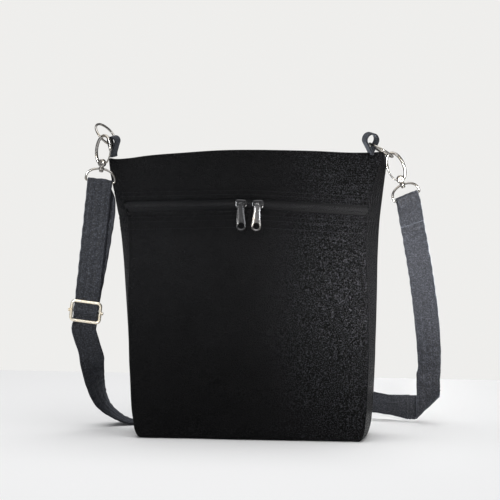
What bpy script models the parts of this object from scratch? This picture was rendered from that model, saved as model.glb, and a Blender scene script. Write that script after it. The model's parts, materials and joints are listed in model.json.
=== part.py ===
"""Crossbody bag with a two-slider front zip and a clip-on strap.

Units are metres, +Z is up, +X is to the right seen from the front and the front faces -Y.
The origin is the centre of the flat underside of the base.
"""

import math

import bmesh
import bpy
import numpy as np
from mathutils import Matrix, Vector

# Clearances
touch_gap = 0.0003

# Bag body
bag_width = 0.279
bag_height = 0.290
base_depth = 0.060
fabric_thickness = 0.0012
front_belly = 0.0035
top_lean = -0.006
top_droop_left = 0.009
top_droop_right = 0.004
height_shares = (0.0, 0.02, 0.08, 0.20, 0.35, 0.52, 0.66, 0.78, 0.88, 0.95, 1.0)
seam_shares = (0.825, 0.842, 0.856, 0.868, 0.882, 0.898, 0.914, 0.934, 0.957, 0.978, 1.0)
fold_shares = (0.980, 0.982, 0.982, 0.978, 0.968, 0.950, 0.925, 0.915, 0.930, 0.960, 0.985)
depth_shares = (0.965, 1.0, 1.0, 0.985, 0.94, 0.85, 0.71, 0.54, 0.35, 0.19, 0.045)
flat_share = 0.90
side_bow_share = 1.3
column_shares = (0.0, 0.15, 0.30, 0.45, 0.60, 0.75, 0.90, 0.92, 0.945, 0.97, 1.0)
panel_rows = 12
band_rows = 5

# Base board and lining
board_thickness = 0.0020
lining_thickness = 0.0006
lining_clearance = 0.0006
lining_drop = 0.0375
lining_side_share = 1.8
lining_rows = 9

# Front zip
zip_drop = 0.0525
zip_height = bag_height - zip_drop
lining_height = zip_height - lining_drop
zip_droop = 0.0055
zip_window = 0.0120
zip_window_end_share = 0.945
tape_width = 0.0140
tape_thickness = 0.0007
tape_end_share = 0.955
coil_width = 0.0024
coil_thickness = 0.0010
coil_parting = 0.0014
tape_rows = 5
stop_length = 0.0020

# Zip sliders and pulls
slider_spacing = 0.0170
slider_pair_shift = 0.0025
slider_travel = 0.0950
slider_length = 0.0120
slider_height = 0.0090
slider_plate = 0.0011
bridge_radius = 0.0005
bridge_span = 0.0070
pull_length = 0.0270
pull_top_width = 0.0070
pull_low_width = 0.0100
pull_thickness = 0.0014
pull_eye_width = 0.0032
pull_eye_wall = 0.0007
pull_hole_radius = 0.0018

# Loop tabs and rings
tab_width = 0.0120
tab_left_height = 0.0180
tab_left_half_width = 0.0042
tab_right_height = 0.0215
tab_right_half_width = 0.0064
tab_left_place_share = 0.964
tab_right_place_share = 0.895
ring_radius = 0.0133
ring_wire = 0.0011
ring_left_heading = math.radians(70)
ring_left_pitch = math.radians(48)
ring_right_heading = math.radians(120)
ring_right_pitch = math.radians(-32)
ring_left_seat_share = 0.50
ring_right_seat_share = 0.48

# Swivel eyes and clasps
eye_width = 0.0294
eye_drop = 0.0130
eye_wire = 0.0011
eye_corner = 0.0018
collar_radius = 0.0026
collar_height = 0.0030
stem_radius = 0.0011
rivet_radius = 0.0022
rivet_height = 0.0016
clasp_half_width = 0.0082
clasp_half_height = 0.0150
clasp_wire = 0.0014
clasp_boss_radius = 0.0040
clasp_boss_thickness = 0.0048
gate_wire = 0.0007
gate_knuckle_radius = 0.0020
gate_knuckle_width = 0.0016
gate_pin_radius = 0.0006
foot_turn = math.radians(-62)
nose_turn = math.radians(172)
gate_gap_turn = math.radians(3)
root_turn = math.radians(230)

# Strap
strap_width = 0.0250
strap_thickness = 0.0012
flap_length = 0.0300
left_run_pitch = math.radians(3.62)
return_start = 0.0060
return_slip = 0.0060
return_shares = ((0.19, 1.0, 0.2), (0.45, 0.85, 0.4), (0.68, 0.5, 0.5))
fold_radius = 0.0022

# Strap adjuster
adjuster_drop = 0.1340
adjuster_slack = 0.0080
adjuster_half_width = 0.0146
adjuster_half_height = 0.0100
adjuster_wire = 0.0016
adjuster_corner = 0.0035
adjuster_bar_radius = 0.0010
adjuster_knob_radius = 0.0017

# Where the strap fittings hang, measured from the foot of each loop tab
eye_left_out = 0.0115
eye_left_forward = 0.0075
eye_left_below = 0.0144
eye_right_out = 0.03090
eye_right_back = 0.0105
eye_right_below = 0.0319
eye_left_lean = math.radians(6.6)
eye_right_lean = math.radians(-21)
eye_left_turn = math.radians(0)
eye_right_turn = math.radians(28)
clasp_left_turn = math.radians(-25)
clasp_right_turn = math.radians(5)

# The strap's way down on the left, as shares of the bag's width, width and height, with its width's direction
left_way_shares = (
    ((-0.5915, 0.0170, 0.2750), (1.00, 0.00, 0.00)),
    ((-0.5875, 0.0420, 0.2250), (0.84, 0.54, 0.00)),
    ((-0.5845, 0.0800, 0.1700), (0.60, 0.80, 0.00)),
    ((-0.5770, 0.1150, 0.1200), (0.46, 0.89, 0.00)),
    ((-0.5590, 0.1450, 0.0780), (0.32, 0.95, 0.00)),
    ((-0.5310, 0.1680, 0.0440), (0.16, 0.98, 0.00)),
    ((-0.4900, 0.1880, 0.0170), (0.05, 1.00, 0.00)),
    ((-0.4450, 0.2080, 0.0045), (-0.20, 0.98, 0.00)),
)

# Its way round behind the bag, as the same shares
rear_way_shares = (
    ((-0.3900, 0.2350, 0.0045), (-0.42, 0.90, 0.00)),
    ((-0.3200, 0.2800, 0.0080), (-0.45, 0.88, 0.12)),
    ((-0.2300, 0.3350, 0.0195), (-0.44, 0.82, 0.35)),
    ((-0.1200, 0.3900, 0.0305), (-0.33, 0.72, 0.60)),
    ((0.0000, 0.4250, 0.0405), (-0.15, 0.50, 0.85)),
    ((0.1200, 0.4400, 0.0460), (-0.03, 0.25, 0.97)),
    ((0.2400, 0.4300, 0.0490), (0.00, 0.08, 1.00)),
    ((0.3500, 0.4050, 0.0515), (0.00, 0.00, 1.00)),
    ((0.4500, 0.3760, 0.0510), (0.00, 0.00, 1.00)),
)

# The strap's fold at the lower right and its way up there, as the same shares
fold_place_shares = (0.5950, 0.3380, 0.0505)
fold_heading = math.radians(10)
right_way_shares = (
    ((0.5640, 0.0640, 0.7700), (0.88, 0.45, 0.10)),
    ((0.5770, 0.1150, 0.6700), (0.90, 0.42, 0.06)),
    ((0.5880, 0.1900, 0.5400), (0.93, 0.35, 0.04)),
    ((0.5950, 0.2640, 0.4100), (0.96, 0.20, 0.02)),
    ((0.5975, 0.3200, 0.2850), (0.97, -0.10, 0.00)),
    ((0.5970, 0.3380, 0.2000), (0.96, -0.25, 0.00)),
)

# Facets
wire_sides = 8
ring_steps = 28
flap_stations = 4

# Sizes that follow from the ones above
seam_depth = fabric_thickness + touch_gap / 2
coil_end_share = flat_share + (tape_end_share - flat_share) / 3
pull_eye_radius = bridge_radius + touch_gap + pull_eye_wall
boss_low = collar_height / 2 + touch_gap
boss_centre = boss_low + clasp_boss_radius
clasp_centre = boss_centre + clasp_half_height - clasp_boss_radius / 2
knuckle_shift = clasp_boss_radius / 3
wrap_radius = eye_wire + touch_gap + strap_thickness / 2
adjuster_wrap = adjuster_bar_radius + touch_gap + strap_thickness / 2
adjuster_seat = adjuster_wire + touch_gap + strap_thickness / 2
layer_step = strap_thickness + touch_gap


def clear_scene():
    for old in list(bpy.data.objects):
        bpy.data.objects.remove(old, do_unlink=True)


def make_material(name, colour, roughness, metallic):
    material = bpy.data.materials.new(name)
    material.use_nodes = True
    shader = material.node_tree.nodes["Principled BSDF"]
    shader.inputs["Base Color"].default_value = (*colour, 1.0)
    shader.inputs["Roughness"].default_value = roughness
    shader.inputs["Metallic"].default_value = metallic
    material.diffuse_color = (*colour, 1.0)
    return material


def smooth_table(places, values, place):
    """Reads a table with a smooth curve through its points."""
    slopes = np.gradient(np.array(values), np.array(places))
    index = int(np.clip(np.searchsorted(places, place) - 1, 0, len(places) - 2))
    width = places[index + 1] - places[index]
    share = min(max((place - places[index]) / width, 0.0), 1.0)
    rise = values[index + 1] - values[index]
    low_pull = slopes[index] * width
    high_pull = slopes[index + 1] * width
    eased = share * share * (3 - 2 * share)
    low_part = low_pull * share * (1 - share) ** 2
    high_part = high_pull * share * share * (share - 1)
    return values[index] + rise * eased + low_part + high_part


def smooth_path(points, steps):
    """A Catmull-Rom curve through the points, with a number of steps in each span."""
    rows = [Vector(point) for point in points]
    rows = [rows[0] * 2 - rows[1]] + rows + [rows[-1] * 2 - rows[-2]]
    path = []
    for index in range(1, len(rows) - 2):
        before, start, end, after = rows[index - 1:index + 3]
        for step in range(steps):
            t = step / steps
            path.append(0.5 * (
                2 * start
                + (end - before) * t
                + (2 * before - 5 * start + 4 * end - after) * t ** 2
                + (3 * start - before - 3 * end + after) * t ** 3
            ))
    path.append(rows[-2])
    return path


def sweep(rings, closed=False):
    """Joins rings of points into one closed skin."""
    mesh = bmesh.new()
    loops = [[mesh.verts.new(point) for point in ring] for ring in rings]
    count = len(loops[0])
    spans = len(loops) if closed else len(loops) - 1
    for index in range(spans):
        low = loops[index]
        high = loops[(index + 1) % len(loops)]
        for side in range(count):
            after = (side + 1) % count
            mesh.faces.new((low[side], low[after], high[after], high[side]))
    if not closed:
        mesh.faces.new(list(reversed(loops[0])))
        mesh.faces.new(loops[-1])
    bmesh.ops.recalc_face_normals(mesh, faces=mesh.faces)
    return mesh


def slab(outer, inner):
    """A sheet with two faces, from two equal grids of points."""
    mesh = bmesh.new()
    faces = [[[mesh.verts.new(point) for point in row] for row in grid] for grid in (outer, inner)]
    rows = len(outer)
    columns = len(outer[0])
    for row in range(rows - 1):
        for column in range(columns - 1):
            for grid in faces:
                mesh.faces.new((
                    grid[row][column],
                    grid[row][column + 1],
                    grid[row + 1][column + 1],
                    grid[row + 1][column],
                ))
    rim = [(0, column) for column in range(columns)]
    rim += [(row, columns - 1) for row in range(1, rows)]
    rim += [(rows - 1, column) for column in range(columns - 2, -1, -1)]
    rim += [(row, 0) for row in range(rows - 2, 0, -1)]
    for (row, column), (next_row, next_column) in zip(rim, rim[1:] + rim[:1]):
        mesh.faces.new((
            faces[0][row][column],
            faces[0][next_row][next_column],
            faces[1][next_row][next_column],
            faces[1][row][column],
        ))
    bmesh.ops.recalc_face_normals(mesh, faces=mesh.faces)
    return mesh


def tube(points, radius, closed=False, sides=wire_sides):
    """A round wire along a path."""
    points = [Vector(point) for point in points]
    count = len(points)
    rings = []
    normal = None
    for index, point in enumerate(points):
        if closed:
            along = points[(index + 1) % count] - points[index - 1]
        else:
            along = points[min(index + 1, count - 1)] - points[max(index - 1, 0)]
        along.normalize()
        if normal is None:
            normal = along.orthogonal()
        normal = (normal - along * normal.dot(along)).normalized()
        other = along.cross(normal)
        rings.append([
            point + radius * (math.cos(turn) * normal + math.sin(turn) * other)
            for turn in (2 * math.pi * side / sides for side in range(sides))
        ])
    return sweep(rings, closed)


def rod(start, end, radius, sides=16):
    """A round bar between two points."""
    return tube([start, end], radius, sides=sides)


def add_object(name, mesh, material, pivot=None, place=None, round_piece=False):
    """Makes an object of a mesh, with its origin on its pivot."""
    if place is not None:
        bmesh.ops.transform(mesh, matrix=place, verts=mesh.verts)
    pivot = Vector(pivot) if pivot is not None else Vector()
    bmesh.ops.translate(mesh, vec=-pivot, verts=mesh.verts)
    data = bpy.data.meshes.new(name)
    mesh.to_mesh(data)
    mesh.free()
    data.materials.append(material)
    if round_piece:
        data.shade_smooth()
        data.set_sharp_from_angle(angle=math.radians(40))
    piece = bpy.data.objects.new(name, data)
    piece.location = pivot
    bpy.context.collection.objects.link(piece)
    return piece


def add_boolean(piece, mesh, operation, name):
    """Joins a tool shape to a piece, or cuts it away. The tool shares the piece's frame."""
    data = bpy.data.meshes.new(name)
    bmesh.ops.translate(mesh, vec=-piece.location, verts=mesh.verts)
    mesh.to_mesh(data)
    mesh.free()
    tool = bpy.data.objects.new(name, data)
    tool.location = piece.location
    tool.hide_render = True
    tool.display_type = "WIRE"
    bpy.context.collection.objects.link(tool)
    modifier = piece.modifiers.new(name, "BOOLEAN")
    modifier.operation = operation
    modifier.object = tool
    return tool


def body_sizes(height, across=0.0):
    """Half width at the side seams, half width at the folds and half depth, at a height."""
    share = height / top_line(across)
    seam = smooth_table(height_shares, seam_shares, share) * bag_width / 2
    fold = smooth_table(height_shares, fold_shares, share) * seam
    depth = smooth_table(height_shares, depth_shares, share) * base_depth / 2
    return seam, fold, max(depth, seam_depth)


def lean_at(height):
    return top_lean * (height / bag_height) ** 2


def section_point(across, height, side=-1, inset=0.0, end_depth=None):
    """A point of the front (side -1) or back (side 1) outline. Across runs from -1 to 1 between the seams."""
    seam, fold, depth = body_sizes(height, across)
    seam -= inset * lining_side_share
    fold -= inset
    depth -= inset
    end_depth = seam_depth if end_depth is None else end_depth
    reach = abs(across)
    if reach <= flat_share:
        x = reach / flat_share * fold
        y = depth
        if side < 0 and height < zip_height:
            rise = height / zip_height
            y += front_belly * (4 * rise * (1 - rise)) ** 2 * (1 - (reach / flat_share) ** 2)
    else:
        share = (reach - flat_share) / (1 - flat_share)
        x = fold + share * (seam - fold)
        y = end_depth + (depth - end_depth) * (1 - share ** side_bow_share)
    return Vector((math.copysign(x, across) + lean_at(height), side * y, height))


def section_inward(across, height, side):
    """The level direction that points into the bag from its wall."""
    if abs(across) == 1:
        return Vector((0, -side, 0))
    step = (1 - flat_share) / len(column_shares) ** 2
    before = section_point(max(across - step, -1), height, side)
    after = section_point(min(across + step, 1), height, side)
    along = (after - before).normalized()
    return Vector((along.y, -along.x, 0)) * side if side > 0 else Vector((-along.y, along.x, 0))


def wall_point(across, height, depth, side=-1, square=False):
    """A point at a depth in the wall, on the level or square to the wall's slope."""
    inward = section_inward(across, height, side)
    if square:
        rise = section_point(across, height + coil_width, side) - section_point(across, height - coil_width, side)
        inward = (inward - rise * inward.dot(rise) / rise.length_squared).normalized()
    return section_point(across, height, side) + depth * inward


def top_line(across):
    droop = top_droop_left if across < 0 else top_droop_right
    return bag_height - droop * across ** 2


def zip_line(across):
    return zip_height - zip_droop * abs(across)


def window_half(across):
    """Half the height of the slot in which the zip shows. It closes at the side seams."""
    end = zip_window_end_share
    share = min(max((1 - abs(across)) / (1 - end), 0), 1)
    return touch_gap / 2 + (zip_window - touch_gap) / 2 * share


def columns(limit=1.0):
    """The places across the bag where walls have their corners."""
    half = [share for share in column_shares if share < limit] + [limit]
    return [-share for share in reversed(half[1:])] + half


def wall(low, high, rows, side, depth=0.0, thickness=fabric_thickness, limit=1.0):
    """A wall between two lines, which give the height across the bag."""
    square = limit < 1
    grids = []
    for offset in (depth, depth + thickness):
        grid = []
        for row in range(rows + 1):
            share = row / rows
            grid.append([
                wall_point(across, low(across) * (1 - share) + high(across) * share, offset, side, square)
                for across in columns(limit)
            ])
        grids.append(grid)
    return slab(*grids)


def build_body(fabric, lining_cloth, board_stuff):
    floor_top = fabric_thickness + touch_gap
    base_line = lambda across: floor_top
    add_object(
        "front_panel",
        wall(base_line, lambda across: zip_line(across) - window_half(across), panel_rows, -1),
        fabric,
    )
    add_object(
        "upper_band",
        wall(lambda across: zip_line(across) + window_half(across), top_line, band_rows, -1),
        fabric,
    )
    add_object("back_panel", wall(base_line, top_line, panel_rows + band_rows, 1), fabric)

    def outline(height, inset):
        front = [section_point(across, height, -1, inset, 0) for across in columns()]
        back = [section_point(across, height, 1, inset, 0) for across in columns()[-2:0:-1]]
        return front + back

    def plate(low, high, inset):
        ring = [point for point in outline(low, inset)]
        upper = [Vector((point.x, point.y, high)) for point in ring]
        return sweep([ring, upper])

    add_object("base_panel", plate(0, fabric_thickness, 0), fabric)
    board_low = floor_top
    board_high = board_low + board_thickness
    wall_room = fabric_thickness + lining_clearance
    add_object("base_board", plate(board_low, board_high, wall_room), board_stuff)
    lining_low = board_high + touch_gap
    outer = []
    inner = []
    for row in range(lining_rows + 1):
        height = lining_low + (lining_height - lining_low) * row / lining_rows
        outer.append(outline(height, wall_room))
        inner_height = max(height, lining_low + lining_thickness)
        inner.append(outline(inner_height, wall_room + lining_thickness))
    add_object("lining_pouch", sweep(outer + inner[::-1]), lining_cloth)


def build_zip(tape_cloth, coil_stuff, metal):
    half_parting = coil_parting / 2
    tape_depth = fabric_thickness + touch_gap
    coil_depth = tape_depth - touch_gap - coil_thickness
    for word, sign in (("upper", 1), ("lower", -1)):
        near = lambda across, sign=sign: zip_line(across) + sign * half_parting
        tape_far = lambda across, sign=sign: zip_line(across) + sign * (half_parting + tape_width)
        coil_far = lambda across, sign=sign: zip_line(across) + sign * (half_parting + coil_width)
        add_object(
            "zip_tape_" + word,
            wall(near, tape_far, tape_rows, -1, tape_depth, tape_thickness, tape_end_share),
            tape_cloth,
        )
        add_object(
            "zip_coil_" + word,
            wall(near, coil_far, 1, -1, coil_depth, coil_thickness, coil_end_share),
            coil_stuff,
        )
    for word, sign in (("left", -1), ("right", 1)):
        add_object("zip_stop_" + word, stop_block(sign), metal)


def stop_block(sign):
    """A clip over both coils' ends, in front of the tape."""
    seam, fold, depth = body_sizes(zip_height)
    span = (seam - fold) / (1 - flat_share)
    start = coil_end_share + touch_gap / span
    end = start + stop_length / span
    depth = fabric_thickness - coil_thickness
    reach = coil_parting / 2 + coil_width
    rings = []
    for across in (sign * start, sign * end):
        height = zip_line(across)
        ring = []
        for rise, offset in ((-reach, depth), (reach, depth), (reach, fabric_thickness), (-reach, fabric_thickness)):
            ring.append(wall_point(across, height + rise, offset, -1, True))
        rings.append(ring)
    return sweep(rings)


def zip_frame(place, travel):
    """A frame on the front wall: x along the zip, y inward, z up along the wall."""
    seam, fold, depth = body_sizes(zip_height)
    across = place / fold * flat_share
    far = travel / fold * flat_share
    point = section_point(across, zip_line(across))
    along = (section_point(far, zip_line(far)) - point).normalized()
    if along.x < 0:
        along = -along
    up = section_point(across, zip_line(across) + coil_width) - point
    inward = up.cross(along).normalized() * -1
    if inward.y < 0:
        inward = -inward
    up = along.cross(inward).normalized() * -1
    if up.z < 0:
        up = -up
    frame = Matrix((along, inward, up)).transposed().to_4x4()
    frame.translation = point
    return frame


def rounded_plate(width, height, low, high, bevel):
    """A plate in the x-z plane between two depths, with rounded corners."""
    corners = []
    for sign_x, sign_z, start in ((1, 1, 0), (-1, 1, 1), (-1, -1, 2), (1, -1, 3)):
        for step in range(4):
            turn = (start + step / 3) * math.pi / 2
            corners.append((
                sign_x * (width / 2 - bevel) + bevel * math.cos(turn),
                sign_z * (height / 2 - bevel) + bevel * math.sin(turn),
            ))
    return sweep([[Vector((x, depth, z)) for x, z in corners] for depth in (low, high)])


def build_slider(word, sign, metal, pull_metal):
    """A zip slider astride both coils, with the pull that hangs from its bridge."""
    place = sign * slider_spacing / 2 + slider_pair_shift
    frame = zip_frame(place, place + sign * slider_travel)
    pivot = frame.translation.copy()
    front_face = fabric_thickness - coil_thickness - touch_gap
    back_face = fabric_thickness + touch_gap + tape_thickness + touch_gap
    corner = slider_height / 4
    slider = add_object(
        "zip_slider_" + word,
        rounded_plate(slider_length, slider_height, front_face - slider_plate, front_face, corner),
        metal, pivot, frame, True,
    )
    neck = rounded_plate(
        slider_length / 3, coil_parting - 2 * touch_gap,
        front_face - slider_plate / 2, back_face + slider_plate / 2, coil_parting / 8,
    )
    rear = rounded_plate(slider_length, slider_height, back_face, back_face + slider_plate, corner)
    bridge_depth = front_face - slider_plate - pull_eye_radius - touch_gap
    feet = front_face - slider_plate / 2
    half_span = bridge_span / 2
    bend = bridge_radius * 2
    bridge = tube(
        [
            (-half_span, feet, 0),
            (-half_span, bridge_depth + bend, 0),
            (-half_span + bend, bridge_depth, 0),
            (half_span - bend, bridge_depth, 0),
            (half_span, bridge_depth + bend, 0),
            (half_span, feet, 0),
        ],
        bridge_radius,
    )
    for name, mesh in (("neck", neck), ("rear", rear), ("bridge", bridge)):
        bmesh.ops.transform(mesh, matrix=frame, verts=mesh.verts)
        add_boolean(slider, mesh, "UNION", "tool_" + name + "_" + word)
    bar = frame @ Vector((0, bridge_depth, 0))
    pull = add_object(
        "zip_pull_" + word,
        pull_plate(),
        pull_metal, bar, frame @ Matrix.Translation((0, bridge_depth, 0)), True,
    )
    local = frame @ Matrix.Translation((0, bridge_depth, 0))
    half_eye = pull_eye_width / 2
    for operation, radius, reach in (
        ("UNION", pull_eye_radius, half_eye),
        ("DIFFERENCE", bridge_radius + touch_gap, half_eye * 2),
    ):
        mesh = rod((-reach, 0, 0), (reach, 0, 0), radius)
        bmesh.ops.transform(mesh, matrix=local, verts=mesh.verts)
        add_boolean(pull, mesh, operation, "tool_eye_" + operation.lower() + "_" + word)
    hole_drop = pull_length - pull_low_width / 2
    mesh = rod((0, -pull_thickness, -hole_drop), (0, pull_thickness, -hole_drop), pull_hole_radius)
    bmesh.ops.transform(mesh, matrix=local, verts=mesh.verts)
    add_boolean(pull, mesh, "DIFFERENCE", "tool_hole_" + word)
    return frame, bar


def pull_plate():
    """The pull's flat outline: narrow at the eye, wide and round at its low end."""
    low_radius = pull_low_width / 2
    low_centre = low_radius - pull_length
    ring = [(-pull_eye_width / 2, 0), (pull_eye_width / 2, 0), (pull_top_width / 2, -pull_eye_radius)]
    for step in range(9):
        turn = -math.pi * step / 8
        ring.append((low_radius * math.cos(turn), low_centre + low_radius * math.sin(turn)))
    ring.append((-pull_top_width / 2, -pull_eye_radius))
    return sweep([
        [Vector((x, depth, z)) for x, z in ring]
        for depth in (-pull_thickness / 2, pull_thickness / 2)
    ])


def ribbon_rings(points, widths, width=strap_width, thickness=strap_thickness):
    """Four corners at each point of a path. Each point has the direction of the band's width there."""
    points = [Vector(point) for point in points]
    rings = []
    for index, point in enumerate(points):
        before = points[index] - points[index - 1] if index else points[1] - points[0]
        after = points[index + 1] - point if index < len(points) - 1 else before
        before = before.normalized()
        after = after.normalized()
        along = (before + after).normalized()
        across = Vector(widths[index])
        across = (across - along * across.dot(along)).normalized()
        normal = along.cross(across)
        miter = max(along.dot(before), 0.5)
        half = across * width / 2
        rise = normal * thickness / 2 / miter
        rings.append([point - half - rise, point + half - rise, point + half + rise, point - half + rise])
    return rings


def ribbon(points, widths, width=strap_width, thickness=strap_thickness):
    """A flat band along a path."""
    return sweep(ribbon_rings(points, widths, width, thickness))


def tab_path(height, half_width):
    """A teardrop from foot to foot, in the x-z plane."""
    foot = (fabric_thickness + touch_gap) / 2
    arc_centre = height - fabric_thickness / 2 - half_width
    path = [Vector((-foot, 0, 0)), Vector((-foot, 0, half_width / 3))]
    for step in range(11):
        turn = math.pi * (1.12 - 1.24 * step / 10)
        path.append(Vector((half_width * math.cos(turn), 0, arc_centre + half_width * math.sin(turn))))
    path += [Vector((foot, 0, half_width / 3)), Vector((foot, 0, 0))]
    return path


def tab_frame(place_share, heading):
    """The foot of a loop tab: y runs through the loop."""
    half_width = body_sizes(bag_height)[0]
    reach = abs(math.cos(heading)) * tab_width / 2 + fabric_thickness * 2
    fold = body_sizes(bag_height)[1]
    share = (abs(place_share) * half_width - reach) / fold * flat_share
    height = top_line(math.copysign(share, place_share)) + touch_gap
    foot = Vector((place_share * half_width + lean_at(bag_height), 0, height))
    return Matrix.Translation(foot) @ Matrix.Rotation(heading - math.pi / 2, 4, "Z")


def build_tab(word, place_share, height, half_width, heading, fabric):
    path = tab_path(height, half_width)
    add_object(
        "loop_tab_" + word,
        ribbon(path, [(0, 1, 0)] * len(path), tab_width, fabric_thickness),
        fabric, None, tab_frame(place_share, heading),
    )


def ring_frame(tab, heading, pitch, height, seat_share):
    """The ring's pivot in its tab: y along the wire there, x from the tab to the ring's centre."""
    place = tab @ Vector((0, 0, height * seat_share))
    side = Vector((math.sin(heading), -math.cos(heading), 0))
    if place.x < 0:
        side = -side
    reach = math.cos(pitch) * side + math.sin(pitch) * Vector((0, 0, 1))
    wire = Vector((math.cos(heading), math.sin(heading), 0))
    frame = Matrix((reach, wire, reach.cross(wire))).transposed().to_4x4()
    frame.translation = place
    return frame


def build_ring(word, frame, metal):
    points = [
        (ring_radius + ring_radius * math.cos(turn), ring_radius * math.sin(turn), 0)
        for turn in (2 * math.pi * step / ring_steps for step in range(ring_steps))
    ]
    add_object("ring_" + word, tube(points, ring_wire, True), metal, frame.translation, frame, True)


def eye_place(word):
    """Where a swivel hangs, out and down from the foot of its tab."""
    if word == "left":
        foot = tab_frame(-tab_left_place_share, ring_left_heading).translation
        return foot + Vector((-eye_left_out, -eye_left_forward, -eye_left_below))
    foot = tab_frame(tab_right_place_share, ring_right_heading).translation
    return foot + Vector((eye_right_out, eye_right_back, -eye_right_below))


def side_frame(word, lean, turn=0.0):
    """The swivel's centre: z up the stem, x across the eye."""
    place = eye_place(word)
    return Matrix.Translation(place) @ Matrix.Rotation(lean, 4, "Y") @ Matrix.Rotation(turn, 4, "Z")


def eye_path():
    """A D with its straight bar low and its arch through the swivel's centre."""
    half = eye_width / 2
    path = []
    for sign in (1, -1):
        arc = []
        for step in range(4):
            turn = -math.pi / 2 + math.pi / 2 * step / 3
            x = half - eye_corner + eye_corner * math.cos(turn)
            arc.append((sign * x, 0, eye_corner - eye_drop + eye_corner * math.sin(turn)))
        path.append(arc)
    arch = []
    rise = eye_drop - eye_corner
    for step in range(1, 14):
        turn = math.pi * step / 14
        arch.append((half * math.cos(turn), 0, -rise + rise * math.sin(turn) ** 0.8))
    return path[0] + arch + path[1][::-1]


def build_eye(word, frame, metal):
    bar = frame @ Vector((0, 0, -eye_drop))
    eye = add_object("swivel_eye_" + word, tube(eye_path(), eye_wire, True), metal, bar, frame, True)
    half = collar_height / 2
    for operation, radius, reach in (
        ("UNION", collar_radius, half),
        ("DIFFERENCE", stem_radius + touch_gap, half * 2),
    ):
        mesh = rod((0, 0, -reach), (0, 0, reach), radius)
        bmesh.ops.transform(mesh, matrix=frame, verts=mesh.verts)
        add_boolean(eye, mesh, operation, "tool_collar_" + operation.lower() + "_" + word)
    return bar


def clasp_point(turn, sign):
    return Vector((
        -sign * clasp_half_width * math.cos(turn),
        0,
        clasp_centre + clasp_half_height * math.sin(turn),
    ))


def build_clasp(word, frame, sign, metal):
    """A hook with a sprung gate. The gate is on the side that sign gives."""
    steps = 22
    hook = [Vector((-sign * clasp_boss_radius / 2, 0, boss_centre))]
    hook += [
        clasp_point(foot_turn + (nose_turn - foot_turn) * step / steps, sign)
        for step in range(steps + 1)
    ]
    half = clasp_boss_thickness / 2
    hinge = Vector((sign * knuckle_shift, 0, boss_centre))
    slot = gate_knuckle_width / 2 + touch_gap
    clasp = add_object(
        "clasp_" + word, tube(hook, clasp_wire), metal, frame.translation, frame, True,
    )
    boss = rod((0, -half, boss_centre), (0, half, boss_centre), clasp_boss_radius, 20)
    stem = rod((0, 0, -collar_height / 2), (0, 0, boss_low + gate_knuckle_radius / 2), stem_radius, 12)
    far = clasp_boss_radius * 2
    room = gate_knuckle_radius + touch_gap
    notch = bmesh.new()
    bmesh.ops.create_cube(notch, size=1)
    notch_matrix = Matrix.Translation((hinge.x + sign * (far - room) / 2, 0, boss_centre + (far - room) / 2))
    notch_matrix = notch_matrix @ Matrix.Diagonal((far + room, slot * 2, far + room, 1))
    bmesh.ops.transform(notch, matrix=notch_matrix, verts=notch.verts)
    bore = rod((hinge.x, -far, hinge.z), (hinge.x, far, hinge.z), gate_pin_radius + touch_gap, 12)
    for operation, name, mesh in (
        ("UNION", "boss", boss),
        ("UNION", "stem", stem),
        ("DIFFERENCE", "notch", notch),
        ("DIFFERENCE", "bore", bore),
    ):
        bmesh.ops.transform(mesh, matrix=frame, verts=mesh.verts)
        add_boolean(clasp, mesh, operation, "tool_" + name + "_" + word)
    rivet_top = -collar_height / 2 - touch_gap
    add_object(
        "swivel_rivet_" + word,
        rod((0, 0, rivet_top), (0, 0, rivet_top - rivet_height), rivet_radius),
        metal, frame.translation, frame, True,
    )
    pivot = frame @ hinge
    tip_turn = nose_turn + gate_gap_turn
    arm = [hinge]
    arm += [clasp_point(root_turn + (tip_turn - root_turn) * step / 6, sign) for step in range(7)]
    gate = add_object("gate_" + word, tube(arm, gate_wire), metal, pivot, frame, True)
    knuckle_half = gate_knuckle_width / 2
    for operation, radius, reach in (
        ("UNION", gate_knuckle_radius, knuckle_half),
        ("DIFFERENCE", gate_pin_radius + touch_gap, knuckle_half * 2),
    ):
        mesh = rod((hinge.x, -reach, hinge.z), (hinge.x, reach, hinge.z), radius)
        bmesh.ops.transform(mesh, matrix=frame, verts=mesh.verts)
        add_boolean(gate, mesh, operation, "tool_gate_" + operation.lower() + "_" + word)
    add_object(
        "gate_pin_" + word,
        rod((hinge.x, -half, hinge.z), (hinge.x, half, hinge.z), gate_pin_radius, 12),
        metal, pivot, frame, True,
    )
    return pivot


def eye_strap_frame(word, lean, turn):
    """The strap's frame at an eye: origin on the bar, x along it, z towards the swivel."""
    return side_frame(word, lean, turn) @ Matrix.Translation((0, 0, -eye_drop))


def left_frame():
    """The left strap run: origin on the eye's bar, z up along the run, y to its back."""
    top = eye_strap_frame("left", eye_left_lean, eye_left_turn)
    up = Vector((math.tan(eye_left_lean), -math.tan(left_run_pitch), 1)).normalized()
    side = top.to_3x3() @ Vector((1, 0, 0))
    side = (side - up * side.dot(up)).normalized()
    frame = Matrix((side, up.cross(side), up)).transposed().to_4x4()
    frame.translation = top.translation
    return frame


def arc_points(centre_y, centre_z, radius, start, end, steps):
    """Points on an arc in the y-z plane. Zero is straight up, a quarter turn is the back."""
    return [
        Vector((0, centre_y + radius * math.sin(turn), centre_z + radius * math.cos(turn)))
        for turn in (start + (end - start) * step / steps for step in range(steps + 1))
    ]


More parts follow.
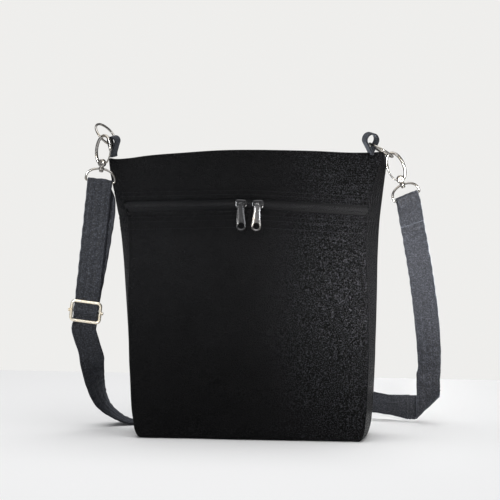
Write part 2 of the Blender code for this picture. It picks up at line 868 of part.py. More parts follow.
def build_left_strap(cloth, metal, frame):
    front = -wrap_radius
    quarter = math.pi / 2
    centre_y = front - adjuster_seat
    drop = -adjuster_drop
    half_pass = adjuster_half_height + adjuster_wire * 2
    side = frame.to_3x3() @ Vector((1, 0, 0))

    upper = [Vector((0, front, drop + half_pass + touch_gap)), Vector((0, front, drop / 2))]
    upper += [Vector((0, front, -eye_drop / 2))]
    upper += arc_points(0, 0, wrap_radius, -quarter, quarter, 8)
    upper += [Vector((0, -front, -return_start))]
    points = [frame @ point for point in upper]
    add_object("strap_upper_run", ribbon(points, [side] * len(points)), cloth)

    bridge = adjuster_wrap + layer_step
    lead = math.radians(60)
    seat = adjuster_half_height - strap_thickness
    passing = [Vector((0, front, drop - half_pass)), Vector((0, front, drop - seat))]
    passing += arc_points(centre_y, drop, bridge + touch_gap, -quarter - lead, -quarter + lead, 8)
    passing += [Vector((0, front, drop + seat)), Vector((0, front, drop + half_pass))]
    points = [frame @ point for point in passing]
    add_object("strap_in_adjuster", ribbon(points, [side] * len(points)), cloth)

    back_of_run = front + layer_step + touch_gap
    returning = [Vector((0, -front, -return_start - touch_gap)), Vector((0, -front, -return_start * 1.5))]
    returning += [
        Vector((return_slip * slip, back_of_run * ease - front * (1 - ease), drop * share))
        for share, slip, ease in return_shares
    ]
    returning += [Vector((0, back_of_run, drop + half_pass))]
    returning += [Vector((0, back_of_run, drop + seat))]
    returning += arc_points(centre_y, drop, adjuster_wrap, quarter / 2, quarter * 3.5, 14)
    points = [frame @ point for point in returning]
    add_object("strap_return", ribbon(points, [side] * len(points)), cloth)

    place = frame @ Matrix.Translation((0, centre_y, drop))
    pivot = place.translation.copy()
    corner_points = []
    for sign_x, sign_z, start in ((1, 1, 0), (-1, 1, 1), (-1, -1, 2), (1, -1, 3)):
        for step in range(4):
            turn = (start + step / 3) * quarter
            corner_points.append((
                sign_x * (adjuster_half_width - adjuster_corner) + adjuster_corner * math.cos(turn),
                0,
                sign_z * (adjuster_half_height - adjuster_corner) + adjuster_corner * math.sin(turn),
            ))
    adjuster = add_object(
        "adjuster_frame", tube(corner_points, adjuster_wire, True), metal, pivot, place, True,
    )
    reach = adjuster_half_width + adjuster_wire
    bore = rod((-reach * 2, 0, 0), (reach * 2, 0, 0), adjuster_bar_radius + touch_gap, 12)
    bmesh.ops.transform(bore, matrix=place, verts=bore.verts)
    add_boolean(adjuster, bore, "DIFFERENCE", "tool_adjuster_bore")
    knob = reach + touch_gap
    ends = knob + adjuster_knob_radius
    rings = []
    for x, radius in (
        (-ends, adjuster_knob_radius * 2 / 3),
        (-ends + adjuster_knob_radius / 3, adjuster_knob_radius),
        (-knob, adjuster_knob_radius),
        (-knob, adjuster_bar_radius),
        (knob, adjuster_bar_radius),
        (knob, adjuster_knob_radius),
        (ends - adjuster_knob_radius / 3, adjuster_knob_radius),
        (ends, adjuster_knob_radius * 2 / 3),
    ):
        rings.append([
            Vector((x, radius * math.cos(turn), radius * math.sin(turn)))
            for turn in (2 * math.pi * step / 12 for step in range(12))
        ])
    add_object("adjuster_bar", sweep(rings), metal, pivot, place, True)
    return pivot


def way_points(shares, lift=0.0):
    points = []
    widths = []
    for (x, y, z), width in shares:
        points.append(Vector((x * bag_width, y * bag_width, z * bag_height + lift)))
        widths.append(Vector(width))
    return points, widths


def smooth_way(points, widths, steps=3):
    return smooth_path(points, steps), smooth_path(widths, steps)


def fold_axes():
    """The fold's own directions: to the right and to the back."""
    right = Vector((math.cos(fold_heading), -math.sin(fold_heading), 0))
    back = Vector((math.sin(fold_heading), math.cos(fold_heading), 0))
    return right, back


def fold_entry():
    """The middle of the strap where it goes straight down into its fold."""
    right, back = fold_axes()
    rise = math.pi * fold_radius / math.sqrt(2) + strap_width / 2 + fold_radius
    x, y, z = fold_place_shares
    place = Vector((x * bag_width, y * bag_width, z * bag_height + rise))
    return place - back * fold_radius


def fold_exit():
    """The middle of the strap where it leaves its fold, on edge."""
    right, back = fold_axes()
    run = math.pi * fold_radius / math.sqrt(2) + strap_width / 2 + fold_radius
    x, y, z = fold_place_shares
    return Vector((x * bag_width, y * bag_width, z * bag_height)) - right * run + back * fold_radius


def fold_rings():
    """The strap turned over a slanting line: it comes down in front and leaves to the left behind."""
    right, back = fold_axes()
    up = Vector((0, 0, 1))
    x, y, z = fold_place_shares
    shift = math.pi * fold_radius / math.sqrt(2)
    centre = Vector((x * bag_width, y * bag_width, z * bag_height + shift))
    slant = (-right - up).normalized()
    outward = (right - up).normalized()
    rings = []
    steps = 8
    for step in range(steps + 1):
        turn = math.pi * step / steps
        along = fold_radius * turn
        normal = outward * math.sin(turn) - back * math.cos(turn)
        edges = []
        for edge in (-strap_width / 2, strap_width / 2):
            edges.append(centre + normal * fold_radius + slant * (along - math.sqrt(2) * edge))
        rise = normal * strap_thickness / 2
        rings.append([edges[0] - rise, edges[1] - rise, edges[1] + rise, edges[0] + rise])
    return rings


def point_on_way(points, widths, length):
    """The place, the direction and the width at a length along a path."""
    walked = 0.0
    for index in range(len(points) - 1):
        step = points[index + 1] - points[index]
        if walked + step.length >= length:
            break
        walked += step.length
    share = (length - walked) / step.length
    return points[index] + step * share, step, widths[index].lerp(widths[index + 1], share)


def build_right_strap(cloth):
    """From the sewn flap over the eye's bar, down and through the fold."""
    frame = eye_strap_frame("right", eye_right_lean, eye_right_turn)
    side = frame.to_3x3() @ Vector((1, 0, 0))
    right, back = fold_axes()
    way, widths = way_points(right_way_shares)
    entry = fold_entry()
    entry_high = entry + Vector((0, 0, strap_width / 2))
    start = frame @ Vector((0, wrap_radius, 0))
    lead = frame @ Vector((0, wrap_radius, -wrap_radius * 2))
    way, widths = smooth_way([start, lead] + way + [entry_high, entry], [side, side] + widths + [right, right])
    front = []
    for station in range(flap_stations, 0, -1):
        share = station / flap_stations
        place, along, width = point_on_way(way, widths, flap_length * share)
        forward = along.cross(width).normalized()
        gap = wrap_radius * 2 * (1 - share) ** 2 + (layer_step + touch_gap) * share * (2 - share)
        front.append(frame.inverted() @ (place - forward * math.copysign(gap, forward.y)))
    front.append(Vector((0, -wrap_radius, 0)))
    front += arc_points(0, 0, wrap_radius, -math.pi / 2, math.pi / 2, 8)[1:-1]
    front = [frame @ point for point in front]
    rings = ribbon_rings(front + way, [side] * len(front) + widths)
    exit_place = fold_exit()
    after = ribbon_rings([exit_place, exit_place - right * fold_radius], [Vector((0, 0, 1))] * 2)[:1]
    add_object("strap_right_run", sweep(rings + fold_rings() + after), cloth)


def build_rear_strap(cloth, frame):
    """From the adjuster down to the floor, and round behind the bag on edge to the fold."""
    side = frame.to_3x3() @ Vector((1, 0, 0))
    right, back = fold_axes()
    half_pass = adjuster_half_height + adjuster_wire * 2
    low = -adjuster_drop - half_pass
    start = frame @ Vector((0, -wrap_radius, low - touch_gap))
    straight = frame @ Vector((0, -wrap_radius, low - adjuster_slack))
    left_points, left_widths = way_points(left_way_shares)
    rear_points, rear_widths = way_points(rear_way_shares)
    points = [straight] + left_points + rear_points + [fold_exit() - right * touch_gap]
    widths = [side] + left_widths + rear_widths + [Vector((0, 0, 1))]
    points, widths = smooth_way(points, widths)
    split = len(left_way_shares) * 3
    add_object("strap_left_run", ribbon([start] + points[:split + 1], [side] + widths[:split + 1]), cloth)
    along = (points[split + 1] - points[split]).normalized()
    rear = [points[split] + along * touch_gap] + points[split + 1:]
    add_object("strap_rear_run", ribbon(rear, widths[split:]), cloth)


def build_bag():
    clear_scene()
    fabric = make_material("coated_fabric", (0.012, 0.012, 0.014), 0.55, 0.0)
    webbing = make_material("strap_fabric", (0.020, 0.023, 0.030), 0.65, 0.0)
    lining_cloth = make_material("lining_cloth", (0.05, 0.05, 0.055), 0.8, 0.0)
    board_stuff = make_material("base_board", (0.12, 0.11, 0.10), 0.7, 0.0)
    tape_cloth = make_material("zip_tape", (0.015, 0.015, 0.017), 0.8, 0.0)
    coil_stuff = make_material("zip_coil", (0.05, 0.05, 0.055), 0.35, 0.0)
    slider_metal = make_material("black_metal", (0.03, 0.03, 0.032), 0.3, 1.0)
    grey_metal = make_material("grey_metal", (0.30, 0.30, 0.31), 0.35, 1.0)
    steel = make_material("nickel", (0.72, 0.70, 0.68), 0.18, 1.0)

    build_body(fabric, lining_cloth, board_stuff)
    build_zip(tape_cloth, coil_stuff, slider_metal)
    pivots = {}
    for word, sign in (("left", -1), ("right", 1)):
        pull_metal = slider_metal if word == "left" else grey_metal
        pivots["slider_" + word] = build_slider(word, sign, slider_metal, pull_metal)

    sides = (
        ("left", 1, tab_left_place_share * -1, tab_left_height, tab_left_half_width, ring_left_heading,
         ring_left_pitch, ring_left_seat_share, eye_left_lean, eye_left_turn, clasp_left_turn),
        ("right", -1, tab_right_place_share, tab_right_height, tab_right_half_width, ring_right_heading,
         ring_right_pitch, ring_right_seat_share, eye_right_lean, eye_right_turn,
         clasp_right_turn),
    )
    for (word, gate_sign, place, height, half_width, heading, pitch, seat, lean, eye_turn,
         clasp_turn) in sides:
        tab = tab_frame(place, heading)
        build_tab(word, place, height, half_width, heading, fabric)
        ring = ring_frame(tab, heading, pitch, height, seat)
        build_ring(word, ring, steel)
        eye = side_frame(word, lean, eye_turn)
        bar = build_eye(word, eye, steel)
        clasp = side_frame(word, lean, clasp_turn)
        gate = build_clasp(word, clasp, gate_sign, steel)
        pivots[word] = (ring, eye, bar, clasp, gate)

    left = left_frame()
    pivots["adjuster"] = (left, build_left_strap(webbing, steel, left))
    build_rear_strap(webbing, left)
    build_right_strap(webbing)
    return pivots


if __name__ == "__main__":
    build_bag()
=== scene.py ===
"""A soft crossbody bag with a zipped front and a folded shoulder strap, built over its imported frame."""

import json
import logging
import math
from dataclasses import dataclass, field
from enum import Enum

import bpy
import numpy as np
from mathutils import Matrix, Vector
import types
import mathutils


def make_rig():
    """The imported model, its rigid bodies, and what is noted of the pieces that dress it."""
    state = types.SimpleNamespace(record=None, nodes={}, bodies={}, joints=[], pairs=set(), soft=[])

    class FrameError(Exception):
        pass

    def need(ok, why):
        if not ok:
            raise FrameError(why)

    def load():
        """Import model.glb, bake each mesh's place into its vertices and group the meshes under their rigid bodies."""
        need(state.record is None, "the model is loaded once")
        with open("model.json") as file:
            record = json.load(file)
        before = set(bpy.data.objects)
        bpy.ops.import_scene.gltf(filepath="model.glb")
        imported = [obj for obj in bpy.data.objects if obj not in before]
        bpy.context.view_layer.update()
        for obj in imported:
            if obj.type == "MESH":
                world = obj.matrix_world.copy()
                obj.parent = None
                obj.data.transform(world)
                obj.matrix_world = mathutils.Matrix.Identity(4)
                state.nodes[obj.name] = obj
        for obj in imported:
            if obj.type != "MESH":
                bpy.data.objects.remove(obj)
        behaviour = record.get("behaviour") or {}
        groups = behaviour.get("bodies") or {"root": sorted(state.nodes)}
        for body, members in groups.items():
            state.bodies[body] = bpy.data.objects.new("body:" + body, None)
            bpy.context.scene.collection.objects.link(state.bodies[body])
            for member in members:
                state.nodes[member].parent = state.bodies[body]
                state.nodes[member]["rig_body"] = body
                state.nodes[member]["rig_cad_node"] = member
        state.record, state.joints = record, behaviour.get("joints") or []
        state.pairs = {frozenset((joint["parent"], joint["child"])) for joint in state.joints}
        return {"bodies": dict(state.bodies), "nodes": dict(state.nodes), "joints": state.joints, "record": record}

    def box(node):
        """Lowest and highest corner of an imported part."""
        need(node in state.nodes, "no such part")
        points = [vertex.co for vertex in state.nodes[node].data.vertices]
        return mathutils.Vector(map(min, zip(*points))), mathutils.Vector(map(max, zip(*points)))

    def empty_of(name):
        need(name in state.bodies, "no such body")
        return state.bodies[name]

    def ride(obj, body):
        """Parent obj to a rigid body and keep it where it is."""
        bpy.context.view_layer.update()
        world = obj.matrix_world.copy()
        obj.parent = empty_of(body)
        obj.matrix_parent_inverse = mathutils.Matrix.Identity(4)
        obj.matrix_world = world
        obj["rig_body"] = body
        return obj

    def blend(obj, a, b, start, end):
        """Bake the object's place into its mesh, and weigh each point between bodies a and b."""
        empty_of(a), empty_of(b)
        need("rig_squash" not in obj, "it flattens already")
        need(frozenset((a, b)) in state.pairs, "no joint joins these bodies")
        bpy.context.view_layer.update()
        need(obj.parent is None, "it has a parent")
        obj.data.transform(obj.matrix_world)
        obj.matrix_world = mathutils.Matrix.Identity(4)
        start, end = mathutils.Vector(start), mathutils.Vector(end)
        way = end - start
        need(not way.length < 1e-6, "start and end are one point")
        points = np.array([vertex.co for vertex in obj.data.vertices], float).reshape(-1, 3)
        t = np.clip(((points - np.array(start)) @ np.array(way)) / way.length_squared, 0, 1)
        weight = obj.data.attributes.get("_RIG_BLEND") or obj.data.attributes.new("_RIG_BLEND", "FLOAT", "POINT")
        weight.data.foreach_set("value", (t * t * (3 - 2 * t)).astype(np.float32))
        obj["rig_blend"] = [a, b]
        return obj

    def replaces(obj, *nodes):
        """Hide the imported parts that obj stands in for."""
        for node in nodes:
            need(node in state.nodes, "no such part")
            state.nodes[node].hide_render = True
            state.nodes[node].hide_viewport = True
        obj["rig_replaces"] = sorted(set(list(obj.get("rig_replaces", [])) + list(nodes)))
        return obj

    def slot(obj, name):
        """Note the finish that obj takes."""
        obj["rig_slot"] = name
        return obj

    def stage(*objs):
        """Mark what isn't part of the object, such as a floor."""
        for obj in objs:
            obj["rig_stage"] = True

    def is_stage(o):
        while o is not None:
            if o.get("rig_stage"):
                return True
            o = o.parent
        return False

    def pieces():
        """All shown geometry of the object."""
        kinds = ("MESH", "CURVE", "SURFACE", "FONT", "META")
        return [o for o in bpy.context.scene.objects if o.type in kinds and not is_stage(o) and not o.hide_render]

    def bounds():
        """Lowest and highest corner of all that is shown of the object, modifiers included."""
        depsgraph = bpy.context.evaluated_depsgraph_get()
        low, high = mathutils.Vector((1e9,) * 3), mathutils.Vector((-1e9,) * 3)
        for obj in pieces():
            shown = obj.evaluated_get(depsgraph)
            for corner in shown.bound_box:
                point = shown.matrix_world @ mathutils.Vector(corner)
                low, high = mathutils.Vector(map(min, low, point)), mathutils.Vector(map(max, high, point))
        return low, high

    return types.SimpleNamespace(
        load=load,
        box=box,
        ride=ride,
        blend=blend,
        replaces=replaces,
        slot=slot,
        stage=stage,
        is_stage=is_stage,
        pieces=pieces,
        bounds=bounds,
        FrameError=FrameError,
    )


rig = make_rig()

log = logging.getLogger("bag")

Array = np.ndarray
Socket = bpy.types.NodeSocket
Piece = bpy.types.Object
SIZE_FILE = "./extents.json"


class Side(Enum):
    """The two ends of the bag, as the viewer sees them."""

    LEFT = -1
    RIGHT = 1

    @property
    def word(self) -> str:
        """The side's name in lower case."""
        return self.name.lower()


class Face(Enum):
    """The two broad walls of the bag."""

    FRONT = -1
    BACK = 1


class Graph:
    """A material's node tree, built one node at a time."""

    def __init__(self, name: str) -> None:
        """Starts an empty material.

        Args:
            name: The material's name.
        """
        self.material = bpy.data.materials.new(name)
        self.material.use_nodes = True
        self.tree = self.material.node_tree
        self.tree.nodes.clear()
        self.output = self.tree.nodes.new("ShaderNodeOutputMaterial")

    def node(self, kind: str, inputs: dict | None = None, **settings) -> bpy.types.Node:
        """Adds a node.

        Args:
            kind: The node's type name.
            inputs: Socket name or number to a value, or to an output socket that feeds it.
            **settings: Attributes of the node.

        Returns:
            The new node.
        """
        node = self.tree.nodes.new(kind)
        for name, value in settings.items():
            setattr(node, name, value)
        for name, value in (inputs or {}).items():
            if isinstance(value, Socket):
                self.tree.links.new(value, node.inputs[name])
            else:
                node.inputs[name].default_value = value
        return node

    def coords(self, scale: tuple = (1.0, 1.0, 1.0), space: str = "Object") -> Socket:
        """Texture coordinates with a scale for each axis."""
        place = self.node("ShaderNodeTexCoord").outputs[space]
        return self.node("ShaderNodeMapping", {"Vector": place, "Scale": scale}).outputs[0]

    def noise(self, where: Socket, scale: float, detail: float = 3.0, rough: float = 0.55) -> Socket:
        """A noise texture's value output."""
        inputs = {"Vector": where, "Scale": scale, "Detail": detail, "Roughness": rough}
        return self.node("ShaderNodeTexNoise", inputs).outputs["Fac"]

    def ramp(self, value: Socket, *stops: tuple) -> Socket:
        """A colour ramp's output.

        Args:
            value: What drives the ramp.
            *stops: Pairs of place and level, or place and colour.

        Returns:
            The ramp's colour socket.
        """
        ramp = self.node("ShaderNodeValToRGB", {0: value})
        elements = ramp.color_ramp.elements
        while len(elements) < len(stops):
            elements.new(0.5)
        for element, (place, level) in zip(elements, stops):
            element.position = place
            element.color = (*level, 1.0) if isinstance(level, tuple) else (level, level, level, 1.0)
        return ramp.outputs[0]

    def mixed(self, share: float | Socket, first: Socket, second: Socket) -> Socket:
        """A colour between two others.

        Args:
            share: How much of the second is taken, from 0 to 1.
            first: The colour at 0.
            second: The colour at 1.

        Returns:
            The colour socket.
        """
        node = self.node("ShaderNodeMixRGB", {"Fac": share, "Color1": first, "Color2": second})
        return node.outputs["Color"]

    def bump(self, height: Socket, strength: float, distance: float, before: Socket | None = None) -> Socket:
        """A bump node's normal output.

        Args:
            height: The relief's height.
            strength: How strongly it turns the normal.
            distance: The relief's depth in metres.
            before: Another normal that this one adds to.

        Returns:
            The normal socket.
        """
        inputs = {"Height": height, "Strength": strength, "Distance": distance}
        if before is not None:
            inputs["Normal"] = before
        return self.node("ShaderNodeBump", inputs).outputs[0]

    def surface(self, inputs: dict) -> bpy.types.Material:
        """Closes the tree with a Principled BSDF and returns the material.

        Args:
            inputs: The shader's inputs by name.

        Returns:
            The material.
        """
        shader = self.node("ShaderNodeBsdfPrincipled", inputs)
        self.tree.links.new(shader.outputs[0], self.output.inputs["Surface"])
        return self.material


@dataclass(frozen=True)
class Finish:
    """What all finishes share: a name, the record's slot, a base colour and a roughness."""

    name: str
    slot: str | None
    colour: tuple
    roughness: float

    def build(self) -> bpy.types.Material:
        """Makes the finish's material."""
        graph = Graph(self.name)
        return graph.surface({"Base Color": (*self.colour, 1.0), "Roughness": self.roughness})

    def material(self) -> bpy.types.Material:
        """The finish's material, made once."""
        return bpy.data.materials.get(self.name) or self.build()

    def tone(self, gain: float, lift: float = 0.0) -> tuple:
        """The base colour, made brighter or darker."""
        return tuple(channel * gain + lift for channel in self.colour)

    def dress(self, obj: Piece) -> Piece:
        """Puts the finish on an object and names its slot.

        Args:
            obj: What is dressed.

        Returns:
            The same object.
        """
        obj.data.materials.clear()
        obj.data.materials.append(self.material())
        if self.slot:
            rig.slot(obj, self.slot)
        return obj


@dataclass(frozen=True)
class CoatedCloth(Finish):
    """Closely woven black cloth with a soft coating, and fine bright specks of painted glint in its colour."""

    grain: float = 820.0
    grain_depth: float = 0.00120
    speck: float = 0.85
    thread: float = 2200.0
    # Painted glint: the span across x over which the bright specks fade in towards the lit right.
    worn: tuple = (0.005, 0.085)

    def build(self) -> bpy.types.Material:
        """Makes the cloth: a colour that varies a little, painted glint specks mixed into that colour, and two scales
        of relief.
        """
        graph = Graph(self.name)
        where = graph.coords()
        grain = graph.noise(where, self.grain, 2.0, 0.7)
        broad = graph.noise(where, 18.0, 4.0, 0.6)
        plain = graph.ramp(broad, (0.30, self.colour), (0.75, self.tone(1.7, 0.001)))
        # Painted glint: bright specks in the base colour where light would catch the grain, with dark specks between.
        painted_glints = graph.ramp(grain, (0.44, self.tone(0.20)), (0.55, self.colour), (0.68, self.tone(21.0)))
        colour = graph.mixed(self.share(graph), plain, painted_glints)
        glint = graph.ramp(grain, (0.42, 0.05), (0.70, 0.16))
        rough = graph.ramp(grain, (0.38, self.roughness + 0.1), (0.72, self.roughness - self.speck * 0.4))
        cells = graph.node("ShaderNodeTexVoronoi", {"Vector": graph.coords(), "Scale": self.thread})
        fine = graph.bump(cells.outputs["Distance"], 0.28, self.grain_depth)
        normal = graph.bump(grain, self.speck, self.grain_depth * 2.0, fine)
        return graph.surface({
            "Base Color": colour,
            "Roughness": rough,
            "Normal": normal,
            "Specular IOR Level": glint,
            "Sheen Weight": 0.01,
            "Sheen Roughness": 0.45,
            "Sheen Tint": (0.75, 0.77, 0.85, 1.0),
        })

    def share(self, graph: Graph) -> Socket:
        """How strongly the painted glint specks show: most on the right of the broad walls, where the key light falls,
        and little on the sides.

        Args:
            graph: The material's tree.

        Returns:
            A value from 0 to 1.
        """
        parts = graph.node("ShaderNodeSeparateXYZ", {"Vector": graph.coords()})
        # Painted glint grows towards the lit right of the walls.
        across = graph.node(
            "ShaderNodeMapRange",
            {"Value": parts.outputs["X"], "From Min": self.worn[0], "From Max": self.worn[1], "To Min": 0.10},
            interpolation_type="SMOOTHSTEP",
        )
        # Painted glint is left off the side faces, so they stay darker.
        facing = graph.node("ShaderNodeNewGeometry")
        turned = graph.node("ShaderNodeSeparateXYZ", {"Vector": facing.outputs["Normal"]})
        size = graph.node("ShaderNodeMath", {0: turned.outputs["X"]}, operation="ABSOLUTE")
        flat = graph.node(
            "ShaderNodeMapRange",
            {"Value": size.outputs[0], "From Min": 0.25, "From Max": 0.60, "To Min": 1.0, "To Max": 0.0},
        )
        both = graph.node("ShaderNodeMath", {0: across.outputs[0], 1: flat.outputs[0]}, operation="MULTIPLY")
        return both.outputs[0]


@dataclass(frozen=True)
class StrapCloth(Finish):
    """Dark strap cloth with a fine grain across its length."""

    grain: float = 2100.0
    fleck: float = 760.0
    rib: float = 900.0
    sheen: float = 0.35

    def build(self) -> bpy.types.Material:
        """Makes the cloth: crossed fine threads, soft blotches and a cool sheen."""
        graph = Graph(self.name)
        where = graph.coords()
        grain = graph.noise(where, self.grain, 3.0, 0.75)
        blotch = graph.noise(where, 60.0, 4.0, 0.65)
        plain = graph.ramp(blotch, (0.32, self.colour), (0.72, self.tone(2.2, 0.004)))
        fleck = graph.noise(where, self.fleck, 2.0, 0.7)
        flecks = graph.ramp(fleck, (0.38, self.tone(0.25)), (0.52, self.colour), (0.66, self.tone(3.8)))
        colour = graph.mixed(0.85, plain, flecks)
        wave = graph.node(
            "ShaderNodeTexWave",
            {"Vector": graph.coords(space="UV"), "Scale": self.rib, "Distortion": 1.2, "Detail": 2.0},
            wave_type="BANDS",
            bands_direction="DIAGONAL",
        ).outputs["Fac"]
        fine = graph.bump(wave, 0.20, 0.0001)
        normal = graph.bump(grain, 0.45, 0.0002, fine)
        rough = graph.ramp(grain, (0.35, self.roughness + 0.08), (0.75, self.roughness - 0.18))
        return graph.surface({
            "Base Color": colour,
            "Roughness": rough,
            "Normal": normal,
            "Specular IOR Level": 0.22,
            "Sheen Weight": self.sheen,
            "Sheen Roughness": 0.4,
            "Sheen Tint": (0.72, 0.78, 0.92, 1.0),
        })


@dataclass(frozen=True)
class TapeCloth(Finish):
    """Narrow woven zip tape with ribs along its length."""

    rib: float = 420.0

    def build(self) -> bpy.types.Material:
        """Makes the tape: ribs from a wave texture over a fine grain."""
        graph = Graph(self.name)
        wave = graph.node(
            "ShaderNodeTexWave",
            {
                "Vector": graph.coords((0.4, 1.0, 1.0), "UV"),
                "Scale": self.rib,
                "Distortion": 0.6,
                "Detail": 1.0,
            },
            wave_type="BANDS",
            bands_direction="Y",
        ).outputs["Fac"]
        grain = graph.noise(graph.coords(), 2600.0, 2.0)
        colour = graph.ramp(wave, (0.2, self.colour), (0.9, self.tone(1.8, 0.003)))
        normal = graph.bump(grain, 0.3, 0.0001, graph.bump(wave, 0.5, 0.00015))
        return graph.surface({
            "Base Color": colour,
            "Roughness": self.roughness,
            "Normal": normal,
            "Specular IOR Level": 0.2,
            "Sheen Weight": 0.04,
            "Sheen Tint": (0.8, 0.8, 0.85, 1.0),
        })


@dataclass(frozen=True)
class Thread(Finish):
    """Twisted sewing thread."""

    def build(self) -> bpy.types.Material:
        """Makes the thread: a slanting twist and a soft gloss."""
        graph = Graph(self.name)
        twist = graph.node(
            "ShaderNodeTexWave",
            {"Vector": graph.coords(), "Scale": 1100.0, "Distortion": 0.5},
            wave_type="BANDS",
            bands_direction="DIAGONAL",
        ).outputs["Fac"]
        return graph.surface({
            "Base Color": graph.ramp(twist, (0.2, self.colour), (0.8, self.tone(2.0, 0.004))),
            "Roughness": self.roughness,
            "Normal": graph.bump(twist, 0.6, 0.0001),
            "Specular IOR Level": 0.15,
            "Sheen Weight": 0.05,
            "Sheen Tint": (0.8, 0.84, 0.95, 1.0),
        })


@dataclass(frozen=True)
class Moulded(Finish):
    """Moulded nylon, slightly uneven where it left its tool."""

    def build(self) -> bpy.types.Material:
        """Makes the nylon: a faint orange-peel relief and a gloss that varies."""
        graph = Graph(self.name)
        noise = graph.noise(graph.coords(), 900.0, 2.0)
        return graph.surface({
            "Base Color": (*self.colour, 1.0),
            "Roughness": graph.ramp(noise, (0.3, self.roughness - 0.08), (0.8, self.roughness + 0.12)),
            "Normal": graph.bump(noise, 0.12, 0.0001),
            "Specular IOR Level": 0.28,
        })


@dataclass(frozen=True)
class PlatedMetal(Finish):
    """Bright plating with faint polishing marks and a little handling haze."""

    haze: float = 0.10
    tint_far: tuple = (0.95, 0.88, 0.76)

    def build(self) -> bpy.types.Material:
        """Makes the plating: warm and cool tones in blotches, fine scratches and haze."""
        graph = Graph(self.name)
        blotch = graph.noise(graph.coords(), 140.0, 3.0)
        scratch = graph.noise(graph.coords((1.0, 1.0, 0.12)), 3200.0, 2.0, 0.8)
        far = tuple(a * b for a, b in zip(self.colour, self.tint_far))
        return graph.surface({
            "Base Color": graph.ramp(blotch, (0.35, self.colour), (0.70, far)),
            "Metallic": 1.0,
            "Roughness": graph.ramp(blotch, (0.30, self.roughness), (0.80, self.roughness + self.haze)),
            "Normal": graph.bump(scratch, 0.05, 0.00005),
        })


@dataclass(frozen=True)
class Enamel(Finish):
    """Black enamel over metal, with a clear gloss and brighter blotches at random places."""

    coat: float = 0.6

    def build(self) -> bpy.types.Material:
        """Makes the enamel: brighter blotches from a noise, a little rougher where they are."""
        graph = Graph(self.name)
        noise = graph.noise(graph.coords(), 420.0, 3.0, 0.7)
        return graph.surface({
            "Base Color": graph.ramp(noise, (0.3, self.colour), (0.85, self.tone(2.5, 0.01))),
            "Metallic": 0.55,
            "Roughness": graph.ramp(noise, (0.25, self.roughness), (0.85, self.roughness + 0.15)),
            "Normal": graph.bump(noise, 0.05, 0.0001),
            "Coat Weight": self.coat,
            "Coat Roughness": 0.12,
        })


@dataclass(frozen=True)
class Ground(Finish):
    """The pale, faintly grained surface that the bag stands on."""

    def build(self) -> bpy.types.Material:
        """Makes the ground: a soft paper grain with no gloss."""
        graph = Graph(self.name)
        noise = graph.noise(graph.coords(), 320.0, 5.0, 0.7)
        return graph.surface({
            "Base Color": graph.ramp(noise, (0.3, self.colour), (0.7, self.tone(1.02))),
            "Roughness": self.roughness,
            "Normal": graph.bump(noise, 0.25, 0.0004),
        })


